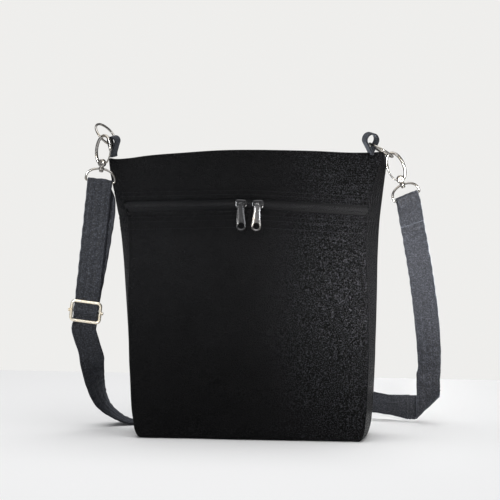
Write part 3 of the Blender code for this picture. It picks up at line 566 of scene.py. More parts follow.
class Maker:
    """Turns points into mesh objects."""

    @staticmethod
    def link(name: str, points: Array, faces: list, finish: Finish, uv: Array | None = None) -> Piece:
        """Makes one smooth-shaded object.

        Args:
            name: The object's name.
            points: Vertex places, one row each.
            faces: Tuples of vertex numbers.
            finish: What the object is dressed in.
            uv: A texture place for each vertex, in metres.

        Returns:
            The new object.
        """
        mesh = bpy.data.meshes.new(name)
        mesh.from_pydata(np.asarray(points, float).reshape(-1, 3).tolist(), [], faces)
        mesh.polygons.foreach_set("use_smooth", [True] * len(mesh.polygons))
        if uv is not None:
            layer = mesh.uv_layers.new(name="UVMap")
            loops = np.empty(len(mesh.loops), np.int32)
            mesh.loops.foreach_get("vertex_index", loops)
            layer.data.foreach_set("uv", np.asarray(uv, np.float32).reshape(-1, 2)[loops].ravel())
        mesh.update()
        obj = bpy.data.objects.new(name, mesh)
        bpy.context.scene.collection.objects.link(obj)
        return finish.dress(obj)

    @staticmethod
    def grid_faces(rows: int, columns: int, start: int = 0, ring: bool = False) -> list:
        """Faces of a grid of vertices, numbered row by row.

        Args:
            rows: How many rows.
            columns: How many columns.
            start: The first vertex's number.
            ring: Whether each row closes on itself.

        Returns:
            The faces.
        """
        last = columns if ring else columns - 1
        return [
            (
                start + row * columns + column,
                start + row * columns + (column + 1) % columns,
                start + (row + 1) * columns + (column + 1) % columns,
                start + (row + 1) * columns + column,
            )
            for row in range(rows - 1)
            for column in range(last)
        ]

    @classmethod
    def grid(cls, name: str, grid: Array, finish: Finish, ring: bool = False) -> Piece:
        """Makes an open sheet from a grid of points, with texture places in metres.

        Args:
            name: The object's name.
            grid: Points by row and column.
            finish: What it is dressed in.
            ring: Whether each row closes on itself.

        Returns:
            The new object.
        """
        rows, columns = grid.shape[:2]
        across = np.zeros((rows, columns))
        along = np.zeros((rows, columns))
        across[:, 1:] = np.cumsum(np.linalg.norm(np.diff(grid, axis=1), axis=2), axis=1)
        along[1:, :] = np.cumsum(np.linalg.norm(np.diff(grid, axis=0), axis=2), axis=0)
        uv = np.stack([across, along], axis=2)
        return cls.link(name, grid, cls.grid_faces(rows, columns, 0, ring), finish, uv)

    @staticmethod
    def frames(points: Array, closed: bool, up: Array | None = None) -> tuple:
        """Two directions square to a path at each of its points, turning as little as they can.

        Args:
            points: The path's points.
            closed: Whether the path is a loop.
            up: A direction to start from.

        Returns:
            Two arrays of unit directions.
        """
        if closed:
            along = np.roll(points, -1, axis=0) - np.roll(points, 1, axis=0)
        else:
            along = np.gradient(points, axis=0)
        along /= np.maximum(np.linalg.norm(along, axis=1, keepdims=True), 1e-12)
        first = np.zeros_like(points)
        guess = np.array([0.0, 1.0, 0.0]) if up is None else np.asarray(up, float)
        if abs(np.dot(guess, along[0])) > 0.95:
            guess = np.array([1.0, 0.0, 0.0])
        for index, direction in enumerate(along):
            guess = guess - direction * np.dot(guess, direction)
            guess = guess / np.linalg.norm(guess)
            first[index] = guess
        return first, np.cross(along, first)

    @classmethod
    def tube_data(
        cls,
        points: Array,
        radius: float | Array,
        closed: bool = False,
        sides: int = 16,
        up: tuple | None = None,
    ) -> tuple:
        """Points and faces of a round tube along a path, with rounded ends where it is open.

        Args:
            points: The path.
            radius: One radius, or one for each point.
            closed: Whether it is a loop.
            sides: How many sides it has.
            up: A direction to start from.

        Returns:
            The points and the faces.
        """
        points = np.asarray(points, float)
        radii = np.broadcast_to(np.asarray(radius, float), (len(points),)).copy()
        if not closed:
            start = points[0] - points[1]
            end = points[-1] - points[-2]
            start /= np.linalg.norm(start)
            end /= np.linalg.norm(end)
            head = [points[0] + start * radii[0] * step for step in (0.95, 0.7)]
            tail = [points[-1] + end * radii[-1] * step for step in (0.7, 0.95)]
            points = np.vstack([head, points, tail])
            rounding = np.array([0.3, 0.72])
            radii = np.concatenate([radii[0] * rounding, radii, radii[-1] * rounding[::-1]])
        first, second = cls.frames(points, closed, up)
        turns = np.linspace(0, 2 * math.pi, sides, endpoint=False)
        ring = first[:, None] * np.cos(turns)[None, :, None] + second[:, None] * np.sin(turns)[None, :, None]
        verts = points[:, None, :] + ring * radii[:, None, None]
        rows = len(points)
        faces = cls.grid_faces(rows, sides, 0, True)
        if closed:
            faces += [
                ((rows - 1) * sides + k, (rows - 1) * sides + (k + 1) % sides, (k + 1) % sides, k)
                for k in range(sides)
            ]
        else:
            faces.append(tuple(range(sides)))
            faces.append(tuple((rows - 1) * sides + k for k in reversed(range(sides))))
        return verts.reshape(-1, 3), faces

    @staticmethod
    def gather(parts: list) -> tuple:
        """Joins pairs of points and faces into one pair.

        Args:
            parts: The pairs.

        Returns:
            One array of points and one list of faces.
        """
        points = []
        faces = []
        count = 0
        for verts, rows in parts:
            points.append(np.asarray(verts).reshape(-1, 3))
            faces += [tuple(index + count for index in row) for row in rows]
            count += len(points[-1])
        return np.vstack(points), faces

    @staticmethod
    def lathe(outline: list, sides: int = 32) -> tuple:
        """Points and faces of a turned shape about z, from pairs of radius and height.

        Args:
            outline: The pairs.
            sides: How many sides it has.

        Returns:
            The points and the faces.
        """
        turns = np.linspace(0, 2 * math.pi, sides, endpoint=False)
        verts = [
            (radius * math.cos(turn), radius * math.sin(turn), height)
            for radius, height in outline
            for turn in turns
        ]
        faces = Maker.grid_faces(len(outline), sides, 0, True)
        faces.append(tuple(reversed(range(sides))))
        faces.append(tuple((len(outline) - 1) * sides + k for k in range(sides)))
        return np.array(verts), faces

    @staticmethod
    def moved(data: tuple, matrix: Matrix) -> tuple:
        """The same points and faces after a matrix."""
        turn = np.array(matrix.to_3x3())
        return np.asarray(data[0]) @ turn.T + np.array(matrix.translation), data[1]

    @staticmethod
    def between(places: Array, walked: Array, points: Array) -> Array:
        """The points found at other places along their path."""
        return np.stack([np.interp(places, walked, points[:, k]) for k in range(3)], axis=-1)

    @staticmethod
    def smooth_path(points: Array, steps: int) -> Array:
        """A Catmull-Rom curve through the points, with a number of steps in each span.

        Args:
            points: The points.
            steps: How many steps.

        Returns:
            The curve's points.
        """
        rows = np.asarray(points, float)
        rows = np.vstack([rows[0] * 2 - rows[1], rows, rows[-1] * 2 - rows[-2]])
        share = np.arange(steps)[:, None] / steps
        path = []
        for index in range(1, len(rows) - 2):
            before, start, end, after = rows[index - 1:index + 3]
            path.append(0.5 * (
                2 * start
                + (end - before) * share
                + (2 * before - 5 * start + 4 * end - after) * share ** 2
                + (3 * start - before - 3 * end + after) * share ** 3
            ))
        return np.vstack(path + [rows[-2][None, :]])

    @staticmethod
    def frame(origin: tuple, x: tuple, y: tuple, z: tuple) -> Matrix:
        """A placing matrix from an origin and three directions.

        Args:
            origin: The frame's place.
            x: Its first axis.
            y: Its second.
            z: Its third.

        Returns:
            The matrix.
        """
        matrix = Matrix((Vector(x), Vector(y), Vector(z))).transposed().to_4x4()
        matrix.translation = Vector(origin)
        return matrix


@dataclass(frozen=True)
class Curve:
    """A smooth curve through a table of places and values."""

    places: tuple
    values: tuple

    def at(self, place: Array) -> Array:
        """The curve's value at one place or at many.

        Args:
            place: Where it is read.

        Returns:
            The values.
        """
        places = np.array(self.places, float)
        values = np.array(self.values, float)
        slopes = np.gradient(values, places)
        place = np.clip(np.asarray(place, float), places[0], places[-1])
        index = np.clip(np.searchsorted(places, place) - 1, 0, len(places) - 2)
        width = places[index + 1] - places[index]
        share = (place - places[index]) / width
        rise = values[index + 1] - values[index]
        eased = share * share * (3 - 2 * share)
        low = slopes[index] * width * share * (1 - share) ** 2
        high = slopes[index + 1] * width * share * share * (share - 1)
        return values[index] + rise * eased + low + high


@dataclass(frozen=True)
class Ripple:
    """Soft unevenness: a sum of waves with settled directions and phases."""

    seed: int
    shortest: float
    longest: float
    depth: float
    waves: int = 9

    def at(self, u: Array, v: Array) -> Array:
        """The unevenness at places on a cloth, in metres.

        Args:
            u: Places along the cloth.
            v: Places up the cloth.

        Returns:
            Heights.
        """
        dice = np.random.RandomState(self.seed)
        total = np.zeros(np.broadcast(u, v).shape)
        for _ in range(self.waves):
            length = self.shortest * (self.longest / self.shortest) ** dice.rand()
            turn = dice.rand() * math.pi
            phase = dice.rand() * 2 * math.pi
            weight = 0.4 + 0.6 * dice.rand()
            way = u * math.cos(turn) + v * math.sin(turn)
            total = total + weight * np.sin(2 * math.pi * way / length + phase)
        return total * self.depth / math.sqrt(self.waves)


@dataclass(frozen=True)
class Crease:
    """One soft fold line on a wall: a ridge or a dip along a straight line that fades at its ends."""

    start: tuple
    end: tuple
    width: float
    depth: float

    def at(self, x: Array, z: Array) -> Array:
        """The fold's relief at places on the wall, in metres.

        Args:
            x: Places along the wall.
            z: Places up the wall.

        Returns:
            Heights.
        """
        ax, az = self.start
        bx, bz = self.end
        length = math.hypot(bx - ax, bz - az)
        dx, dz = (bx - ax) / length, (bz - az) / length
        along = (x - ax) * dx + (z - az) * dz
        off = (x - ax) * dz - (z - az) * dx
        share = along / length
        fade = np.clip(share * 4, 0, 1) * np.clip((1 - share) * 4, 0, 1)
        fade = fade * fade * (3 - 2 * fade)
        return self.depth * fade * np.exp(-(off / self.width) ** 2)


@dataclass(frozen=True)
class BagForm:
    """The bag's outline at every height: flat walls between soft folds, and sides drawn in at their seams."""

    width: float = 0.279
    height: float = 0.290
    depth: float = 0.060
    belly: float = 0.0035
    lean: float = -0.006
    flat_share: float = 0.90
    side_bow: float = 1.3
    seam_depth: float = 0.00135
    zip_height: float = 0.2375
    zip_droop: float = 0.0055
    window_half: float = 0.0060
    window_end: float = 0.895
    window_stop: float = 0.915
    soften: float = 0.012
    heights: tuple = (0.0, 0.02, 0.08, 0.20, 0.35, 0.52, 0.66, 0.78, 0.88, 0.95, 1.0)
    seams: tuple = (0.820, 0.838, 0.858, 0.878, 0.895, 0.910, 0.922, 0.942, 0.972, 0.994, 1.002)
    folds: tuple = (0.980, 0.982, 0.982, 0.978, 0.968, 0.950, 0.925, 0.915, 0.930, 0.960, 0.985)
    depths: tuple = (0.965, 1.0, 1.0, 0.985, 0.94, 0.85, 0.71, 0.54, 0.35, 0.19, 0.045)
    top_places: tuple = (
        -1.0, -0.93, -0.87, -0.79, -0.67, -0.42, -0.17, 0.05, 0.18, 0.46, 0.69, 0.82, 0.91, 0.96, 1.0,
    )
    top_heights: tuple = (
        0.2778, 0.2791, 0.2783, 0.2792, 0.2820, 0.2858, 0.2889, 0.2899, 0.2900, 0.2897, 0.2887, 0.2891,
        0.2896, 0.2868, 0.2830,
    )

    def top(self, across: Array) -> Array:
        """The height of the top edge."""
        return Curve(self.top_places, self.top_heights).at(across)

    def zip_line(self, across: Array) -> Array:
        """The height of the zip's middle."""
        return self.zip_height - self.zip_droop * np.abs(across)

    def window(self, across: Array) -> Array:
        """Half the height of the slot in which the zip shows. It closes at the soft folds."""
        closing = (self.window_stop - np.abs(across)) / (self.window_stop - self.window_end)
        return self.window_half * np.clip(closing, 0, 1)

    def raw(self, across: Array, height: Array, face: Face) -> Array:
        """Points of the outline before its folds are softened.

        Args:
            across: Places from -1 to 1.
            height: Heights.
            face: Which wall.

        Returns:
            The points.
        """
        share = height / self.top(across)
        seam = Curve(self.heights, self.seams).at(share) * self.width / 2
        fold = Curve(self.heights, self.folds).at(share) * seam
        depth = np.maximum(Curve(self.heights, self.depths).at(share) * self.depth / 2, self.seam_depth)
        reach = np.minimum(np.abs(across), 1.0)
        flat = reach <= self.flat_share
        side = np.clip((reach - self.flat_share) / (1 - self.flat_share), 0, 1)
        rise = np.clip(height / self.zip_height, 0, 1)
        belly = self.belly * (4 * rise * (1 - rise)) ** 2 * np.clip(1 - (reach / self.flat_share) ** 2, 0, 1)
        x = np.where(flat, reach / self.flat_share * fold, fold + side * (seam - fold))
        bow = self.seam_depth + (depth - self.seam_depth) * (1 - side ** self.side_bow)
        y = np.where(flat, depth + (belly if face is Face.FRONT else 0), bow)
        x = np.copysign(x, across) + self.lean * (height / self.height) ** 2
        return np.stack([x, face.value * y, height + 0 * x], axis=-1)

    def points(self, across: Array, height: Array, face: Face) -> Array:
        """Points of the outline, with folds as soft as cloth makes them.

        Args:
            across: Places from -1 to 1.
            height: Heights.
            face: Which wall.

        Returns:
            The points.
        """
        across, height = np.broadcast_arrays(np.asarray(across, float), np.asarray(height, float))
        room = np.clip((1 - np.abs(across)) / self.soften / 2, 0, 1)
        total = 0
        for step, weight in ((-2, 1), (-1, 4), (0, 6), (1, 4), (2, 1)):
            place = across + step * self.soften / 2 * room
            total = total + weight * self.raw(place, height, face)
        return total / 16


@dataclass(frozen=True)
class StitchRow:
    """A straight row of topstitching across the front, at a height above or below the zip's middle."""

    offset: float
    limit: float = 0.985

    def height(self, form: BagForm, across: Array) -> Array:
        """The row's height on the wall."""
        return form.zip_line(across) + self.offset


@dataclass(frozen=True)
class Wall:
    """One broad wall of the bag, with its unevenness, creases and stitched rows."""

    form: BagForm
    face: Face
    ripples: tuple
    creases: tuple
    rows: tuple
    stitch_pitch: float = 0.0026
    stitch_dip: float = 0.00030
    pucker: float = 0.00034
    pucker_reach: float = 0.0026
    welt: float = 0.00055
    fold_ridge: float = 0.0005

    def normal(self, across: Array, height: Array) -> Array:
        """The outward direction at places on the wall.

        Args:
            across: Places from -1 to 1.
            height: Heights.

        Returns:
            Unit directions.
        """
        step, rise = 0.004, 0.0015
        low = np.clip(across - step, -1, 1)
        high = np.clip(across + step, -1, 1)
        along = self.form.points(high, height, self.face) - self.form.points(low, height, self.face)
        up = self.form.points(across, height + rise, self.face)
        up = up - self.form.points(across, height - rise, self.face)
        normal = np.cross(along, up) * -self.face.value
        return normal / np.maximum(np.linalg.norm(normal, axis=-1, keepdims=True), 1e-12)

    def relief(self, across: Array, height: Array) -> Array:
        """How far the cloth stands out from the plain form, in metres.

        Args:
            across: Places from -1 to 1.
            height: Heights.

        Returns:
            Heights over the form.
        """
        x = across * self.form.width / 2
        total = sum(ripple.at(x, height) for ripple in self.ripples)
        total = total * np.clip((1 - np.abs(across)) * 8, 0, 1)
        total = total * np.clip((self.form.top(across) - height) / 0.012, 0, 1)
        for crease in self.creases:
            total = total + crease.at(x, height)
        ridge = np.exp(-((np.abs(across) - self.form.flat_share) / 0.012) ** 2)
        total = total + self.fold_ridge * ridge * np.clip(height / 0.02, 0, 1)
        for number, row in enumerate(self.rows):
            away = height - row.height(self.form, across)
            wave = np.sin(2 * math.pi * x / self.stitch_pitch + number * 1.7)
            slow = np.sin(x * 410 + number * 2.1) * 0.6 + np.sin(x * 690 + number * 4.4) * 0.5
            reach = np.exp(-(away / self.pucker_reach) ** 2)
            total = total - self.stitch_dip * np.exp(-(away / 0.0009) ** 2)
            total = total + self.pucker * (wave * 0.8 + slow * 0.6) * reach
        if self.face is Face.FRONT:
            away = np.abs(height - self.form.zip_line(across)) - self.form.window(across)
            welt = self.welt * np.exp(-((away - 0.0022) / 0.0021) ** 2)
            total = total + welt * np.clip((1 - np.abs(across)) * 12, 0, 1)
        return total

    def place(self, across: Array, height: Array, out: Array | float = 0.0) -> Array:
        """Points on the cloth, or at a distance out from it.

        Args:
            across: Places from -1 to 1.
            height: Heights.
            out: How far out they lie.

        Returns:
            The points.
        """
        across, height = np.broadcast_arrays(np.asarray(across, float), np.asarray(height, float))
        lift = self.relief(across, height) + out
        return self.form.points(across, height, self.face) + self.normal(across, height) * lift[..., None]


@dataclass
class ClothShell:
    """The bag's cloth: front panel, upper band, back, base and the lining inside."""

    form: BagForm
    cloth: Finish
    lining: Finish
    front: Wall
    back: Wall
    columns: int = 381
    lip_radius: float = 0.0008
    lip_depth: float = 0.0070
    hem_radius: float = 0.0025
    lining_gap: float = 0.0032
    lining_top: float = 0.198
    pieces: dict = field(default_factory=dict)

    def across(self) -> Array:
        """Places across the bag, closer together at the folds."""
        plain = np.linspace(-1, 1, self.columns)
        near = (1 - self.form.flat_share) * 1.6
        folds = [np.linspace(-1, near - 1, 33), np.linspace(1 - near, 1, 33)]
        return np.unique(np.round(np.concatenate([plain, *folds]), 6))

    def lip(self, across: Array, edge: Array, turn: float) -> Array:
        """Rows that roll a panel's edge inward at the zip and run back behind it.

        Args:
            across: The places across the bag.
            edge: The edge's height.
            turn: 1 where the panel ends upward, -1 where it ends downward.

        Returns:
            A grid of points.
        """
        rows = []
        for angle in np.linspace(0.25, 1.0, 6) * math.pi:
            rise = turn * self.lip_radius * math.sin(angle)
            sink = self.lip_radius * (1 - math.cos(angle))
            rows.append(self.front.place(across, edge + rise, -sink))
        for share in (0.3, 0.65, 1.0):
            rows.append(self.front.place(across, edge - turn * self.lip_depth * share, -self.lip_radius * 2))
        return np.array(rows)

    def build_front(self) -> Piece:
        """Builds the front panel from its hem at the base to the zip's lower lip."""
        across = self.across()
        edge = self.form.zip_line(across) - self.form.window(across)
        near = 0.034
        rows = [self.hem(self.front, across)]
        start = self.hem_radius
        low = np.linspace(0, 1, 150)[:, None]
        rows.append(self.front.place(across[None, :], start + low * (edge - near - start)[None, :]))
        high = np.linspace(0, 1, 66)[1:, None]
        rows.append(self.front.place(across[None, :], (edge - near)[None, :] + near * high))
        rows.append(self.lip(across, edge, 1))
        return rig.replaces(Maker.grid("bag_front", np.vstack(rows), self.cloth), "front_panel")

    def hem(self, wall: Wall, across: Array) -> Array:
        """Rows that turn a wall's foot under, towards the base.

        Args:
            wall: Which wall.
            across: Places from -1 to 1.

        Returns:
            A grid of points.
        """
        rows = []
        for angle in np.linspace(0, 1, 7)[:-1] * math.pi / 2:
            sink = self.hem_radius * (1 - math.sin(angle))
            rise = self.hem_radius * (1 - math.cos(angle))
            rows.append(wall.place(across, np.full_like(across, rise + 0.0003), -sink))
        return np.array(rows)

    def build_band(self) -> Piece:
        """Builds the band above the zip, over the top edge and a little way down the back."""
        across = self.across()
        edge = self.form.zip_line(across) + self.form.window(across)
        top = self.form.top(across)
        rows = [self.lip(across, edge, -1)[::-1]]
        low = np.linspace(0, 1, 92)[:, None]
        rows.append(self.front.place(across[None, :], edge + low * (top - 0.0006 - edge)[None, :]))
        front_top = rows[-1][-1]
        back_top = self.back.place(across, top - 0.0006)
        arc = []
        for angle in np.linspace(0, 1, 8)[1:-1] * math.pi:
            share = (1 - math.cos(angle)) / 2
            point = front_top * (1 - share) + back_top * share
            point[:, 2] += 0.0009 * math.sin(angle)
            arc.append(point)
        rows.append(np.array(arc))
        down = np.linspace(0, 1, 14)[:, None]
        out = 0.0006 * np.sqrt(1 - down ** 4)
        rows.append(self.back.place(across[None, :], (top - 0.0006)[None, :] - 0.016 * down, out))
        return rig.replaces(Maker.grid("bag_band", np.vstack(rows), self.cloth), "upper_band")

    def build_back(self) -> Piece:
        """Builds the back panel from its hem to the top edge."""
        across = self.across()
        top = self.form.top(across) - 0.0012
        up = np.linspace(0, 1, 150)[:, None]
        wall = self.back.place(across[None, :], self.hem_radius + up * (top - self.hem_radius)[None, :])
        rows = np.vstack([self.hem(self.back, across), wall])
        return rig.replaces(Maker.grid("bag_back", rows, self.cloth), "back_panel")

    def build_base(self) -> Piece:
        """Builds the base between the two hems."""
        across = self.across()
        low = self.hem(self.front, across)[0]
        high = self.hem(self.back, across)[0]
        share = np.linspace(0, 1, 41)[:, None, None]
        grid = low[None] * (1 - share) + high[None] * share
        grid[..., 2] = 0.0004 + 0.0004 * np.sin(math.pi * share[..., 0]) ** 0.5
        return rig.replaces(Maker.grid("bag_base", grid[:, ::-1], self.cloth), "base_panel")

    def build_lining(self) -> Piece:
        """Builds the pouch that hangs inside, open at its top."""
        across = np.linspace(-0.985, 0.985, 91)
        heights = np.linspace(0.006, self.lining_top, 36)[:, None]
        walls = []
        for face in (Face.FRONT, Face.BACK):
            wall = Wall(self.form, face, (Ripple(31, 0.03, 0.09, 0.0006),), (), (), fold_ridge=0.0, welt=0.0)
            walls.append(wall.place(across[None, :] * 0.97, heights, -self.lining_gap))
        grid = np.concatenate([walls[0], walls[1][:, ::-1]], axis=1)
        bottom = grid[0].copy()
        middle = bottom.mean(axis=0)
        floor = np.array([bottom * (1 - share) + middle * share for share in (1.0, 0.6, 0.2)])
        floor[..., 2] = 0.0048
        pouch = Maker.grid("lining", np.vstack([floor, grid]), self.lining, ring=True)
        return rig.replaces(pouch, "lining_pouch")

    def build(self) -> None:
        """Builds every piece of the shell."""
        self.pieces = {
            "front": self.build_front(),
            "band": self.build_band(),
            "back": self.build_back(),
            "base": self.build_base(),
            "lining": self.build_lining(),
        }
        for name in ("band", "back", "base"):
            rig.slot(self.pieces[name], "coated_cloth_" + name)
        for name, piece in self.pieces.items():
            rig.ride(piece, "bag")
            log.info("shell %s: %d faces", name, len(piece.data.polygons))


@dataclass
class Stitching:
    """Rows of topstitching, each stitch a short length of thread."""

    wall: Wall
    thread: Finish
    length: float = 0.0024
    radius: float = 0.00021
    rises: tuple = (-0.00012, 0.00010, 0.00016, 0.00010, -0.00012)

    def build(self) -> Piece:
        """Builds all the rows of one wall as one object."""
        parts = []
        form = self.wall.form
        for row in self.wall.rows:
            pitch = self.wall.stitch_pitch / (form.width / 2)
            middles = np.arange(-row.limit, row.limit, pitch)
            half = self.length / 2 / (form.width / 2)
            places = middles[:, None] + np.array([-half, -half * 0.5, 0.0, half * 0.5, half])[None, :]
            places = np.clip(places, -1, 1)
            lift = np.array(self.rises)[None, :] + 0 * places
            points = self.wall.place(places, row.height(form, places), lift)
            parts += [Maker.tube_data(stitch, self.radius, sides=6) for stitch in points]
        stitches = Maker.link("topstitching", *Maker.gather(parts), self.thread)
        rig.ride(stitches, "bag")
        log.info("stitching: %d stitches", len(parts))
        return stitches


@dataclass
class ZipFront:
    """The zip: two tapes, two rows of teeth and the stops at its ends."""

    form: BagForm
    wall: Wall
    tape: Finish
    nylon: Finish
    metal: Finish
    tape_depth: float = 0.0021
    tape_half: float = 0.0072
    tape_sink: float = 0.0022
    tooth_pitch: float = 0.00175
    tooth_radius: float = 0.00058
    tooth_reach: float = 0.0019
    tooth_out: float = 0.0004
    limit: float = 0.93
    ripple: Ripple = Ripple(77, 0.010, 0.035, 0.00016)

    def depth_point(self, across: Array, height: Array, depth: Array | float) -> Array:
        """Points behind the outer face, square to the wall.

        Args:
            across: Places from -1 to 1.
            height: Heights.
            depth: How far behind they lie.

        Returns:
            The points.
        """
        across, height = np.broadcast_arrays(np.asarray(across, float), np.asarray(height, float))
        normal = self.wall.normal(across, height)
        return self.form.points(across, height, Face.FRONT) - normal * np.asarray(depth)[..., None]

    def build_tape(self, sign: int, word: str) -> Piece:
        """Builds one tape, with a corded edge where its teeth sit.

        Args:
            sign: 1 above the zip's middle, -1 below it.
            word: The half's name.

        Returns:
            The tape.
        """
        across = np.linspace(-0.955, 0.955, 301)[None, :]
        share = np.linspace(0, 1, 13)[:, None]
        height = self.form.zip_line(across) + sign * (0.0006 + share * (self.tape_half - 0.0006))
        cord = 0.0007 * np.exp(-((share - 0.22) / 0.13) ** 2)
        uneven = self.ripple.at(across * self.form.width / 2, height * 3)
        sink = self.tape_sink * np.clip((share - 0.45) / 0.45, 0, 1) ** 1.5
        grid = self.depth_point(across, height, self.tape_depth + sink - cord - uneven * share)
        if sign < 0:
            grid = grid[::-1]
        piece = Maker.grid("zip_tape_" + word + "_cloth", grid, self.tape)
        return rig.replaces(piece, "zip_tape_" + word)

    def build_teeth(self, sign: int, word: str) -> Piece:
        """Builds one row of coil teeth, each a bent bead that reaches over the zip's middle.

        Args:
            sign: 1 above the zip's middle, -1 below it.
            word: The half's name.

        Returns:
            The teeth.
        """
        pitch = self.tooth_pitch / (self.form.width / 2)
        middles = np.arange(-self.limit, self.limit, pitch) + (pitch / 2 if sign > 0 else 0)
        reach = self.tooth_reach
        steps = np.array([-0.25, 0.15, 0.6, 1.0])[None, :] * reach * sign
        lean = np.array([0.0, 0.06, 0.02, -0.10])[None, :] * pitch
        across = middles[:, None] + lean
        height = self.form.zip_line(across) + steps
        rise = np.array([0.0005, 0.0010, 0.0010, 0.0003])[None, :]
        depth = self.tape_depth - self.tooth_out - rise + 0 * across
        points = self.depth_point(across, height, depth)
        radius = self.tooth_radius * np.array([0.72, 1.0, 0.95, 0.7])
        parts = [Maker.tube_data(tooth, radius, sides=6) for tooth in points]
        piece = Maker.link("zip_teeth_" + word, *Maker.gather(parts), self.nylon)
        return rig.replaces(piece, "zip_coil_" + word)

    def build_stop(self, side: Side) -> Piece:
        """Builds the small clamp at one end of the teeth.

        Args:
            side: Which end.

        Returns:
            The stop.
        """
        low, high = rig.box("zip_stop_" + side.word)
        middle = (low + high) / 2
        height = self.form.zip_line(np.array([self.limit]))
        place = self.depth_point(np.array([side.value * self.limit]), height, 0.0)
        path = np.array([[0, 0, -0.0022], [0, 0, -0.0008], [0, 0, 0.0008], [0, 0, 0.0022]]) + np.array(middle)
        path[:, 1] = min(middle.y, place[0, 1] + 0.001)
        data = Maker.tube_data(path, np.array([0.0007, 0.00095, 0.00095, 0.0007]), sides=10)
        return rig.replaces(Maker.link("zip_end_" + side.word, *data, self.metal), "zip_stop_" + side.word)

    def build(self) -> None:
        """Builds the zip and lets it ride on the bag."""
        halves = ((1, "upper"), (-1, "lower"))
        pieces = [self.build_tape(sign, word) for sign, word in halves]
        pieces += [self.build_teeth(sign, word) for sign, word in halves]
        pieces += [self.build_stop(side) for side in Side]
        for piece in pieces:
            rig.ride(piece, "bag")
            log.info("zip %s: %d faces", piece.name, len(piece.data.polygons))


